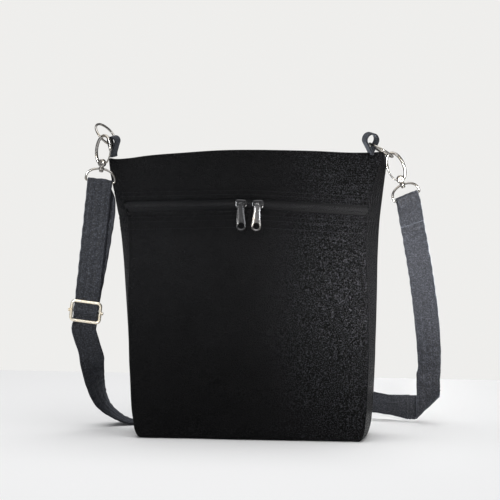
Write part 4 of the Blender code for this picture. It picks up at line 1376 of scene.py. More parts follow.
@dataclass
class ZipSlider:
    """One slider head with its bridge, and the flat pull that hangs from it."""

    word: str
    head: Finish
    plate: Finish
    lean: float = 0.19
    droop: float = 0.0394
    head_half: tuple = (0.0060, 0.0044)
    head_thickness: float = 0.0010
    head_front: float = 0.0018
    bridge_radius: float = 0.00055
    bridge_half: float = 0.0044
    eye_radius: float = 0.0015
    eye_half: float = 0.0016
    length: float = 0.0270
    top_half: float = 0.0034
    low_radius: float = 0.0050
    hole_radius: float = 0.0033
    thickness: float = 0.0014
    bevel: float = 0.00030
    rim: float = 0.0010
    recess: float = 0.00035

    def place(self) -> Matrix:
        """The frame at the pull's pivot: x along the zip, y into the bag, z up the wall."""
        low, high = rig.box("zip_slider_" + self.word)
        _, pull_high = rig.box("zip_pull_" + self.word)
        turn = self.droop if self.word == "left" else -self.droop
        pivot = ((low.x + high.x) / 2, pull_high.y - self.eye_radius, pull_high.z - self.eye_radius)
        x = Vector((math.cos(turn), 0.0, math.sin(turn)))
        up = Vector((-math.sin(turn), self.lean, math.cos(turn))).normalized()
        return Maker.frame(pivot, tuple(x), tuple(up.cross(x)), tuple(up))

    def outline(self, inset: float) -> Array:
        """Points around the pull's edge, seen from the front.

        Args:
            inset: How far inside the edge they lie, in metres.

        Returns:
            The points.
        """
        middle = self.low_radius - self.length
        top = -self.eye_radius * 0.6
        slope = math.atan2(self.low_radius - self.top_half, top - middle)
        arc = np.linspace(slope, -math.pi - slope, 33)
        radius = self.low_radius - inset
        low = np.stack([radius * np.cos(arc), middle + radius * np.sin(arc)], axis=-1)
        corner = 0.0014
        bend = np.linspace(math.pi - slope, math.pi / 2, 6)
        centre = (corner - self.top_half, top - corner)
        left = np.stack([np.cos(bend), np.sin(bend)], axis=-1) * max(corner - inset, 0.0001) + centre
        right = left[::-1] * (-1, 1)
        rise = np.linspace(0, 1, 9)[1:-1, None]
        up = low[-1] * (1 - rise) + left[0] * rise
        down = right[-1] * (1 - rise) + low[0] * rise
        return np.vstack([low, up, left, right, down])

    def build_pull(self, place: Matrix) -> Piece:
        """Builds the pull: a plate with a raised rim, a wide hole and a barrel eye.

        Args:
            place: The pivot's frame.

        Returns:
            The pull.
        """
        centre = np.array([0.0, self.low_radius - self.length])
        edge = self.outline(0.0) - centre
        turn = np.arctan2(edge[:, 1], edge[:, 0])
        circle = np.stack([np.cos(turn), np.sin(turn)], axis=-1)
        half = self.thickness / 2
        soft = self.bevel
        floor = self.recess - half
        rings = [
            (centre + circle * self.hole_radius, floor + soft),
            (centre + circle * (self.hole_radius + soft), floor),
            (self.outline(self.rim + soft), floor),
            (self.outline(self.rim), -half + soft / 2),
            (self.outline(self.rim - soft), -half),
            (self.outline(soft), -half),
            (self.outline(soft * 0.3), -half + soft * 0.3),
            (self.outline(0.0), -half + soft),
            (self.outline(0.0), half - soft),
            (self.outline(soft), half),
            (centre + circle * (self.hole_radius + soft), half),
            (centre + circle * self.hole_radius, half - soft),
            (centre + circle * self.hole_radius, floor + soft),
        ]
        grid = np.array([[(x, depth, z) for x, z in ring] for ring, depth in rings])
        shape = grid.shape
        plate = (grid.reshape(-1, 3), Maker.grid_faces(shape[0], shape[1], 0, True))
        inner, outer, reach = self.bridge_radius + 0.0002, self.eye_radius, self.eye_half
        points, faces = Maker.lathe([
            (inner, -reach), (outer * 0.93, -reach), (outer, -reach * 0.9), (outer, reach * 0.9),
            (outer * 0.93, reach), (inner, reach), (inner, -reach),
        ], 20)
        barrel = Maker.moved((points, faces[:-2]), Matrix.Rotation(math.pi / 2, 4, "Y"))
        data = Maker.gather([plate, barrel])
        piece = Maker.link("pull_" + self.word + "_plate", *Maker.moved(data, place), self.plate)
        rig.replaces(piece, "zip_pull_" + self.word)
        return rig.ride(piece, "pull_" + self.word)

    def head_ring(self, share: float) -> Array:
        """One ring around the head: a rounded shape, a little pinched where the zip enters.

        Args:
            share: Its size, as a share of the head's.

        Returns:
            The ring's points.
        """
        turn = np.linspace(0, 2 * math.pi, 48, endpoint=False)
        round_cos = np.sign(np.cos(turn)) * np.abs(np.cos(turn)) ** 0.55
        round_sin = np.sign(np.sin(turn)) * np.abs(np.sin(turn)) ** 0.55
        taper = 1 - 0.10 * round_cos * (1 if self.word == "left" else -1)
        wide, tall = self.head_half
        return np.stack([round_cos * wide * share, round_sin * tall * share * taper], axis=-1)

    def build_head(self, place: Matrix) -> Piece:
        """Builds the head: a domed front plate, its skirt and the bridge.

        Args:
            place: The pivot's frame.

        Returns:
            The head.
        """
        front, thickness = self.head_front, self.head_thickness
        back = front + thickness
        profile = [
            (0.02, front), (0.45, front + thickness * 0.03), (0.75, front + thickness * 0.12),
            (0.92, front + thickness * 0.30), (1.0, front + thickness * 0.62), (1.0, back - thickness * 0.15),
            (0.96, back), (0.02, back),
        ]
        grid = np.array([[(x, depth, z) for x, z in self.head_ring(share)] for share, depth in profile])
        shape = grid.shape
        body = (grid.reshape(-1, 3), Maker.grid_faces(shape[0], shape[1], 0, True))
        reach = self.bridge_half
        half = [(-1.0, back - 0.0004), (-0.97, front * 0.5), (-0.72, 0.0001), (-0.4, 0.0)]
        knots = [(reach * share, depth, 0) for share, depth in half]
        knots = np.array(knots + [(-x, depth, z) for x, depth, z in reversed(knots)])
        bridge = Maker.tube_data(Maker.smooth_path(knots, 6), self.bridge_radius, sides=12)
        data = Maker.gather([body, bridge])
        piece = Maker.link("slider_" + self.word + "_head", *Maker.moved(data, place), self.head)
        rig.replaces(piece, "zip_slider_" + self.word)
        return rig.ride(piece, "slider_" + self.word)

    def build(self) -> None:
        """Builds the head and the pull."""
        place = self.place()
        for piece in (self.build_head(place), self.build_pull(place)):
            log.info("slider %s: %d faces", piece.name, len(piece.data.polygons))


@dataclass
class Studio:
    """The pale ground, the soft lights, the white surroundings and the camera."""

    ground: Finish
    azimuth: float = 7.0
    elevation: float = 8.5
    distance: float = 8.5
    lens: float = 612.0
    target: tuple = (0.0010, -0.030, 0.1931)
    sky_level: float = 0.20
    backdrop: tuple = (0.860, 0.855, 0.840)
    lights: tuple = (
        ("key", (0.36, -0.62, 0.20), (0.158, -0.01, 0.165), 0.16, 0.60, 27.0, (1.0, 0.99, 0.97)),
        ("side", (-0.48, -0.60, 0.35), (-0.135, -0.03, 0.20), 0.16, 0.13, 22.0, (0.96, 0.98, 1.0)),
        ("top", (0.00, -0.12, 1.60), (0.0, 0.0, 0.15), 2.2, 30.5, 180.0, (1.0, 1.0, 1.0)),
    )

    def build_ground(self) -> None:
        """Builds the ground, which ends a little way behind the bag."""
        rows = np.array([[[x, y, 0.0] for x in (-3.0, 3.0)] for y in (-2.5, 0.37)])
        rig.stage(Maker.grid("ground", rows, self.ground))

    def build_lights(self) -> None:
        """Places the soft lights, each turned to the place it is for."""
        for name, place, aim, size, power, spread, colour in self.lights:
            data = bpy.data.lights.new(name, "AREA")
            data.shape = "DISK"
            data.size = size
            data.energy = power
            data.spread = math.radians(spread)
            data.color = colour
            light = bpy.data.objects.new(name, data)
            light.location = place
            light.rotation_euler = (Vector(aim) - Vector(place)).to_track_quat("-Z", "Y").to_euler()
            bpy.context.scene.collection.objects.link(light)

    def build_world(self) -> None:
        """Sets the pale surroundings: one colour seen from the camera, another level that lights the bag."""
        world = bpy.data.worlds.new("studio")
        world.use_nodes = True
        nodes, links = world.node_tree.nodes, world.node_tree.links
        nodes.clear()
        output = nodes.new("ShaderNodeOutputWorld")
        seen = nodes.new("ShaderNodeBackground")
        seen.inputs["Color"].default_value = (*self.backdrop, 1.0)
        lit = nodes.new("ShaderNodeBackground")
        lit.inputs["Color"].default_value = (0.96, 0.97, 1.0, 1.0)
        lit.inputs["Strength"].default_value = self.sky_level
        path = nodes.new("ShaderNodeLightPath")
        mix = nodes.new("ShaderNodeMixShader")
        links.new(path.outputs["Is Camera Ray"], mix.inputs[0])
        links.new(lit.outputs[0], mix.inputs[1])
        links.new(seen.outputs[0], mix.inputs[2])
        links.new(mix.outputs[0], output.inputs["Surface"])
        bpy.context.scene.world = world

    def build_camera(self) -> None:
        """Places the camera at the photograph's angle."""
        data = bpy.data.cameras.new("camera")
        data.lens = self.lens
        data.sensor_width = 36.0
        data.dof.use_dof = False
        data.clip_end = 20.0
        camera = bpy.data.objects.new("camera", data)
        turn, rise = math.radians(self.azimuth), math.radians(self.elevation)
        away = Vector((math.sin(turn) * math.cos(rise), -math.cos(turn) * math.cos(rise), math.sin(rise)))
        camera.location = Vector(self.target) + away * self.distance
        camera.rotation_euler = (-away).to_track_quat("-Z", "Y").to_euler()
        bpy.context.scene.collection.objects.link(camera)
        bpy.context.scene.camera = camera

    def build(self) -> None:
        """Sets up the whole studio."""
        self.build_ground()
        self.build_lights()
        self.build_world()
        self.build_camera()
        bpy.context.scene.view_settings.view_transform = "Standard"
        log.info("studio: %d lights", len(self.lights))


@dataclass(frozen=True)
class BandPath:
    """Where a band runs: its two edges, point by point."""

    left: Array
    right: Array

    @classmethod
    def along(cls, points: list, sides: list, width: float, step: float = 0.0016) -> "BandPath":
        """A band about a line, evenly stepped.

        Args:
            points: Points of the line, which is smoothed.
            sides: The direction of the band's width at each point.
            width: The band's width.
            step: The distance between stations.

        Returns:
            The path.
        """
        line = Maker.smooth_path(np.array([tuple(p) for p in points]), 10)
        across = Maker.smooth_path(np.array([tuple(s) for s in sides]), 10)
        walked = np.concatenate([[0], np.cumsum(np.linalg.norm(np.diff(line, axis=0), axis=1))])
        places = np.linspace(0, walked[-1], max(int(walked[-1] / step), 4) + 1)
        line = Maker.between(places, walked, line)
        across = Maker.between(places, walked, across)
        forward = np.gradient(line, axis=0)
        forward /= np.linalg.norm(forward, axis=1, keepdims=True)
        across -= forward * (across * forward).sum(axis=1, keepdims=True)
        across /= np.linalg.norm(across, axis=1, keepdims=True)
        return cls(line - across * width / 2, line + across * width / 2)

    def joined(self, other: "BandPath") -> "BandPath":
        """This path and then another, with the step between them filled in.

        Args:
            other: The path that follows.

        Returns:
            The whole path.
        """
        ends = ((self.left[-1], other.left[0]), (self.right[-1], other.right[0]))
        gap = max(np.linalg.norm(near - far) for near, far in ends)
        share = np.linspace(0, 1, max(int(gap / 0.0016), 1) + 1)[1:-1, None]
        left = self.left[-1] * (1 - share) + other.left[0] * share
        right = self.right[-1] * (1 - share) + other.right[0] * share
        return BandPath(np.vstack([self.left, left, other.left]), np.vstack([self.right, right, other.right]))

    def length(self) -> float:
        """The length along the band's middle."""
        middle = (self.left + self.right) / 2
        return float(np.linalg.norm(np.diff(middle, axis=0), axis=1).sum())


@dataclass(frozen=True)
class Band:
    """A flat band of cloth, its edges folded in and sewn down with rows of stitches."""

    cloth: Finish
    thread: Finish
    thickness: float = 0.0014
    rows: tuple = (-0.80, -0.27, 0.27, 0.80)
    puff: float = 0.00030
    pucker: float = 0.00026
    sway: float = 0.0004
    wobble: float = 0.00022
    pitch: float = 0.0031
    stitch_length: float = 0.0022
    stitch_radius: float = 0.00019
    stitch_rises: tuple = (-0.00018, 0.00004, 0.00010, 0.00004, -0.00018)
    seed: int = 5
    columns: int = 31
    cloth_width: float = 0.025

    def relief(self, u: Array, along: Array, flip: float) -> Array:
        """How far the cloth puffs up between its rows of stitches, in metres.

        Args:
            u: Shares across the band.
            along: Distances along it.
            flip: 1 or -1 for its two faces.

        Returns:
            Heights.
        """
        dice = np.random.RandomState(self.seed + (7 if flip < 0 else 0))
        near = np.min([np.abs(u - row) for row in self.rows], axis=0) if self.rows else np.ones_like(u)
        lift = self.puff * np.clip(near / 0.20, 0, 1) ** 0.7
        for row in self.rows or (0.0,):
            reach = np.exp(-((u - row) / 0.24) ** 2)
            for _ in range(4):
                length = 0.0042 * (3.4 ** dice.rand())
                phase = dice.rand() * 2 * math.pi
                slant = (dice.rand() - 0.5) * 0.006
                wave = np.sin(2 * math.pi * (along + u * slant) / length + phase)
                lift = lift + self.pucker * 0.5 * reach * wave
        return lift

    def surface(self, path: BandPath, flip: float, columns: Array | None = None) -> tuple:
        """One face of the band.

        Args:
            path: The band's two edges.
            flip: 1 for the face that looks along across times forward, -1 for the other.
            columns: Shares across the band from -1 to 1.

        Returns:
            The face's points and its normals.
        """
        u = np.linspace(-1, 1, self.columns) if columns is None else np.asarray(columns, float)
        share = (u[None, :, None] + 1) / 2
        middle = (path.left + path.right) / 2
        step = np.linalg.norm(np.diff(middle, axis=0), axis=1)
        along = np.concatenate([[0], np.cumsum(step)])[:, None]
        dice = np.random.RandomState(self.seed + 40)
        turn = 2 * math.pi * along
        drift, edge = (
            sum(np.sin(turn / (length * spread ** dice.rand()) + dice.rand() * 6.28) for _ in range(3))
            for length, spread in ((0.035, 3), (0.012, 2.5))
        )
        across = path.right - path.left
        width = np.linalg.norm(across, axis=1, keepdims=True)
        forward = np.gradient(middle, axis=0)
        normal = np.cross(across, forward)
        normal /= np.maximum(np.linalg.norm(normal, axis=1, keepdims=True), 1e-12)
        base = path.left[:, None, :] * (1 - share) + path.right[:, None, :] * share
        outer = np.sign(u)[None, :] * np.clip((np.abs(u)[None, :] - 0.7) / 0.3, 0, 1)
        base = base + (across / width)[:, None, :] * (outer * edge * self.wobble / 2)[..., None]
        corner = self.thickness / width.mean()
        side = np.clip((np.abs(u) - (1 - corner)) / corner, 0, 1)
        half = self.thickness / 2 * np.sqrt(np.clip(1 - side ** 2, 0, 1))
        ends = np.clip(np.minimum(along, along[-1] - along) / 0.006, 0, 1)
        lift = self.relief(u[None, :], along, flip) * (1 - side)[None, :] + half[None, :]
        offset = flip * lift + self.sway / 2 * drift * ends * (0.5 + 0.5 * np.cos(u * 1.2))[None, :]
        return base + normal[:, None, :] * offset[..., None], normal * flip, along

    def build(self, name: str, path: BandPath) -> Piece:
        """Builds the band as one closed piece.

        Args:
            name: The object's name.
            path: The band's two edges.

        Returns:
            The band.
        """
        top, _, along = self.surface(path, 1)
        bottom, _, _ = self.surface(path, -1)
        grid = np.concatenate([top, bottom[:, ::-1][:, 1:-1]], axis=1)
        rows, columns = grid.shape[:2]
        faces = Maker.grid_faces(rows, columns, 0, True)
        faces.append(tuple(reversed(range(columns))))
        faces.append(tuple((rows - 1) * columns + k for k in range(columns)))
        there, back = top.shape[1], columns - top.shape[1]
        width = self.cloth_width
        place = np.concatenate([np.linspace(0, width, there), np.linspace(width, 0, back)])
        uv = np.stack(np.broadcast_arrays(place[None, :], along), axis=2)
        return Maker.link(name, grid, faces, self.cloth, uv)

    def stitch(self, name: str, path: BandPath, faces: tuple = (1, -1), ends: tuple = (0.0, 0.0)) -> Piece:
        """Builds the rows of stitches on the band's faces.

        Args:
            name: The object's name.
            path: The band's two edges.
            faces: Which faces are stitched.
            ends: How far the rows stay from the band's two ends.

        Returns:
            The stitches as one object.
        """
        parts = []
        shares = np.array([0.0, 0.2, 0.5, 0.8, 1.0])
        lift = np.array(self.stitch_rises)[:, None]
        for flip in faces:
            points, normals, along = self.surface(path, flip, self.rows)
            walked = along[:, 0]
            last = walked[-1] - self.pitch - ends[1]
            for number in range(len(self.rows)):
                for start in np.arange(0.001 + ends[0] + number * 0.0007, last, self.pitch):
                    places = start + shares * self.stitch_length
                    line = Maker.between(places, walked, points[:, number])
                    out = Maker.between(places, walked, normals)
                    parts.append(Maker.tube_data(line + out * lift, self.stitch_radius, sides=5))
        return Maker.link(name, *Maker.gather(parts), self.thread)


@dataclass(frozen=True)
class CornerPlan:
    """Where one upper corner's tab, ring, swivel and clasp are, and how they are turned."""

    side: Side
    tab: Matrix
    tab_height: float
    tab_half_width: float
    ring: Matrix
    eye: Matrix
    clasp: Matrix
    gate_sign: int
    tab_root: float = 0.0004


@dataclass
class CornerHardware:
    """The loop tab, the ring, the swivelling eye and the clasp with its sprung gate at one corner."""

    plan: CornerPlan
    metal: Finish
    tab_band: Band
    tab_width: float = 0.0120
    ring_radius: float = 0.0133
    ring_wire: float = 0.00115
    eye_width: float = 0.0294
    eye_drop: float = 0.0130
    eye_wire: float = 0.00115
    eye_corner: float = 0.0018
    collar_radius: float = 0.0027
    collar_height: float = 0.0032
    stem_radius: float = 0.0011
    rivet_radius: float = 0.0022
    rivet_height: float = 0.0016
    clasp_half_width: float = 0.0082
    clasp_half_height: float = 0.0150
    clasp_centre: float = 0.0188
    clasp_wire: float = 0.00145
    boss_radius: float = 0.0040
    boss_thickness: float = 0.0048
    boss_centre: float = 0.0058
    knuckle_shift: float = 0.001333
    gate_wire: float = 0.00075
    gate_knuckle_radius: float = 0.0020
    gate_knuckle_width: float = 0.0016
    foot_turn: float = math.radians(-62)
    nose_turn: float = math.radians(172)
    tip_turn: float = math.radians(175)
    root_turn: float = math.radians(230)

    def tab_path(self) -> Array:
        """A teardrop from foot to foot, in the tab's x-z plane."""
        half, height = self.plan.tab_half_width, self.plan.tab_height
        centre = height - 0.0006 - half
        turns = np.linspace(1.12, -0.12, 19) * math.pi
        arc = [(half * math.cos(turn), 0, centre + half * math.sin(turn)) for turn in turns]
        foot = -self.plan.tab_root
        root = [(0.0007, 0, half / 3), (0.0006, 0, foot)]
        return np.array([(-x, y, z) for x, y, z in reversed(root)] + arc + root)

    def build_tab(self) -> list:
        """Builds the loop tab of cloth and its stitches."""
        plan = self.plan
        points = [plan.tab @ Vector(point) for point in self.tab_path()]
        side = plan.tab.to_3x3() @ Vector((0, 1, 0))
        path = BandPath.along(points, [side] * len(points), self.tab_width, 0.0007)
        tab = self.tab_band.build("tab_" + plan.side.word, path)
        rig.replaces(tab, "loop_tab_" + plan.side.word)
        stitches = self.tab_band.stitch("tab_stitches_" + plan.side.word, path, (1,), (0.002, 0.002))
        return [tab, stitches]

    def build_ring(self) -> Piece:
        """Builds the plain round ring, with the faint seam where its wire was closed."""
        turns = np.linspace(0, 2 * math.pi, 96, endpoint=False)
        points = np.stack([
            self.ring_radius + self.ring_radius * np.cos(turns), self.ring_radius * np.sin(turns), 0 * turns,
        ], axis=1)
        seam = 1 - 0.10 * np.exp(-((turns - 2.2) / 0.035) ** 2)
        data = Maker.tube_data(points, self.ring_wire * seam, True, 18, (0, 0, 1))
        ring = Maker.link("hoop_" + self.plan.side.word, *Maker.moved(data, self.plan.ring), self.metal)
        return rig.replaces(ring, "ring_" + self.plan.side.word)

    def eye_path(self) -> Array:
        """A D with its straight bar low and its arch through the swivel's centre."""
        half = self.eye_width / 2
        rise = self.eye_drop - self.eye_corner
        corner = []
        for turn in np.linspace(-math.pi / 2, 0, 7):
            corner.append((
                half - self.eye_corner + self.eye_corner * math.cos(turn), 0,
                self.eye_corner - self.eye_drop + self.eye_corner * math.sin(turn),
            ))
        arch = [
            (half * math.cos(turn), 0, -rise + rise * math.sin(turn) ** 0.8)
            for turn in np.linspace(0, math.pi, 41)[1:-1]
        ]
        end = half - self.eye_corner
        bar = [(x, 0, -self.eye_drop) for x in np.linspace(-end, end, 14)[1:-1]]
        return np.array(corner + arch + [(-x, y, z) for x, y, z in reversed(corner)] + bar)

    def build_eye(self) -> Piece:
        """Builds the D-shaped eye with the collar that the stem turns in."""
        wire = Maker.tube_data(self.eye_path(), self.eye_wire, True, 16, (0, 1, 0))
        half, radius = self.collar_height / 2, self.collar_radius
        edge = 0.0005
        bore = self.stem_radius + 0.0002
        collar = Maker.lathe([
            (bore, -half), (radius - edge, -half), (radius, -half + edge), (radius * 1.06, 0.0),
            (radius, half - edge), (radius - edge, half), (bore, half),
        ])
        data = Maker.moved(Maker.gather([wire, collar]), self.plan.eye)
        eye = Maker.link("eye_" + self.plan.side.word + "_wire", *data, self.metal)
        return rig.replaces(eye, "swivel_eye_" + self.plan.side.word)

    def clasp_point(self, turn: float) -> tuple:
        """A point on the hook's oval."""
        return (
            -self.plan.gate_sign * self.clasp_half_width * math.cos(turn), 0,
            self.clasp_centre + self.clasp_half_height * math.sin(turn),
        )

    def build_clasp(self) -> list:
        """Builds the hook on its boss and stem, and the rivet under the collar."""
        sign = self.plan.gate_sign
        points = [(-sign * self.boss_radius / 2, 0, self.boss_centre)]
        turns = np.linspace(self.foot_turn, self.nose_turn, 72)
        points += [self.clasp_point(turn) for turn in turns]
        share = np.linspace(0, 1, len(points))
        radius = self.clasp_wire * (1.10 - 0.12 * share + 0.16 * np.exp(-((share - 1) / 0.05) ** 2))
        hook = Maker.tube_data(points, radius, False, 18, (0, 1, 0))
        half, edge, reach = self.boss_thickness / 2, 0.0007, self.boss_radius
        boss = Maker.lathe([
            (reach * 0.45, -half * 0.92), (reach - edge, -half), (reach, -half + edge),
            (reach, half - edge), (reach - edge, half), (reach * 0.45, half * 0.92),
        ], 36)
        turned = Matrix.Translation((0, 0, self.boss_centre)) @ Matrix.Rotation(math.pi / 2, 4, "X")
        boss = Maker.moved(boss, turned)
        neck = self.boss_centre - self.boss_radius * 0.7
        pin, rim = self.stem_radius, self.collar_height / 2
        stem = Maker.lathe([
            (pin * 0.9, -rim - 0.0004), (pin, 0.0), (pin, rim), (pin * 1.9, rim + 0.0003),
            (pin * 2.0, neck - 0.0002), (pin * 1.5, neck + 0.0006),
        ], 24)
        data = Maker.moved(Maker.gather([hook, boss, stem]), self.plan.clasp)
        clasp = Maker.link("hook_" + self.plan.side.word, *data, self.metal)
        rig.replaces(clasp, "clasp_" + self.plan.side.word)
        top = -rim - 0.0003
        low = top - self.rivet_height
        wide = self.rivet_radius
        rivet = Maker.lathe([
            (wide * 0.9, top), (wide, top - 0.0003), (wide * 0.95, low + 0.0005),
            (wide * 0.6, low), (wide * 0.1, low - 0.0001),
        ], 24)
        rivet = Maker.link("rivet_" + self.plan.side.word, *Maker.moved(rivet, self.plan.clasp), self.metal)
        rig.replaces(rivet, "swivel_rivet_" + self.plan.side.word)
        return [clasp, rivet]

    def build_gate(self) -> Piece:
        """Builds the sprung gate with its knuckle."""
        hinge = np.array([self.plan.gate_sign * self.knuckle_shift, 0, self.boss_centre])
        turns = np.linspace(self.root_turn, self.tip_turn, 26)
        points = [tuple(hinge)] + [self.clasp_point(turn) for turn in turns]
        arm = Maker.tube_data(Maker.smooth_path(np.array(points), 3), self.gate_wire, False, 12, (0, 1, 0))
        half, radius = self.gate_knuckle_width / 2, self.gate_knuckle_radius
        knuckle = Maker.lathe([
            (radius * 0.3, -half), (radius * 0.9, -half), (radius, -half * 0.6), (radius, half * 0.6),
            (radius * 0.9, half), (radius * 0.3, half),
        ], 24)
        turned = Matrix.Translation(Vector(hinge)) @ Matrix.Rotation(math.pi / 2, 4, "X")
        data = Maker.moved(Maker.gather([arm, Maker.moved(knuckle, turned)]), self.plan.clasp)
        gate = Maker.link("gate_arm_" + self.plan.side.word, *data, self.metal)
        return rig.replaces(gate, "gate_" + self.plan.side.word)

    def build(self) -> None:
        """Builds the corner's pieces, each riding on its own body."""
        word = self.plan.side.word
        groups = (
            ("bag", self.build_tab()),
            ("ring_" + word, [self.build_ring()]),
            ("eye_" + word, [self.build_eye()]),
            ("clasp_" + word, self.build_clasp()),
            ("gate_" + word, [self.build_gate()]),
        )
        for body, pieces in groups:
            for piece in pieces:
                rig.ride(piece, body)
                log.info("corner %s: %s on %s", word, piece.name, body)


@dataclass(frozen=True)
class StrapPlan:
    """Where the strap runs: its straight part on the left, its way round the back and its fold."""

    left: Matrix = field(default_factory=lambda: Maker.frame(
        (-0.15347, -0.00750, 0.25646),
        (0.99337, 0.0, -0.11494), (0.0072, 0.9980, 0.0623), (0.11471, -0.06272, 0.99142),
    ))
    right: Matrix = field(default_factory=lambda: Maker.frame(
        (0.15441, 0.0105, 0.24381),
        (0.8243, 0.46947, 0.31642), (-0.43830, 0.88290, -0.16820), (-0.35840, 0.0, 0.93360),
    ))
    adjuster_drop: float = 0.1340
    drops: tuple = (0.004, 0.012, 0.03, 0.06, 0.09, 0.12, 0.134, 0.148, 0.1545)
    wrap: float = 0.0021
    round_the_back: tuple = (
        ((-0.1650, 0.0047, 0.0798), (1.00, 0.00, 0.00)),
        ((-0.1639, 0.0117, 0.0653), (0.84, 0.54, 0.00)),
        ((-0.1631, 0.0223, 0.0493), (0.60, 0.80, 0.00)),
        ((-0.1610, 0.0321, 0.0348), (0.46, 0.89, 0.00)),
        ((-0.1560, 0.0405, 0.0226), (0.32, 0.95, 0.00)),
        ((-0.1481, 0.0469, 0.0128), (0.16, 0.98, 0.00)),
        ((-0.1367, 0.0525, 0.0049), (0.05, 1.00, 0.00)),
        ((-0.1242, 0.0580, 0.0013), (-0.20, 0.98, 0.00)),
        ((-0.1088, 0.0656, 0.0013), (-0.42, 0.90, 0.00)),
        ((-0.0893, 0.0781, 0.0023), (-0.45, 0.88, 0.12)),
        ((-0.0642, 0.0935, 0.0057), (-0.44, 0.82, 0.35)),
        ((-0.0335, 0.1088, 0.0088), (-0.33, 0.72, 0.60)),
        ((0.0000, 0.1186, 0.0117), (-0.15, 0.50, 0.85)),
        ((0.0335, 0.1228, 0.0133), (-0.03, 0.25, 0.97)),
        ((0.0670, 0.1200, 0.0155), (0.00, 0.08, 1.00)),
        ((0.0976, 0.1130, 0.0190), (0.00, -0.20, 0.98)),
        ((0.1256, 0.1049, 0.0165), (0.00, -0.42, 0.91)),
    )
    down_the_right: tuple = (
        ((0.1574, 0.0179, 0.2233), (0.88, 0.45, 0.10)),
        ((0.1610, 0.0321, 0.1943), (0.90, 0.42, 0.06)),
        ((0.1647, 0.0530, 0.1566), (0.93, 0.35, 0.04)),
        ((0.1672, 0.0737, 0.1189), (0.96, 0.20, 0.02)),
        ((0.1687, 0.0893, 0.0826), (0.97, -0.10, 0.00)),
        ((0.1690, 0.0943, 0.0580), (0.96, -0.25, 0.00)),
    )
    fold_place: tuple = (0.16880, 0.0943, 0.01500)
    fold_heading: float = math.radians(10)
    fold_radius: float = 0.0030
    flap_length: float = 0.0300
    flap_gap: float = 0.0018


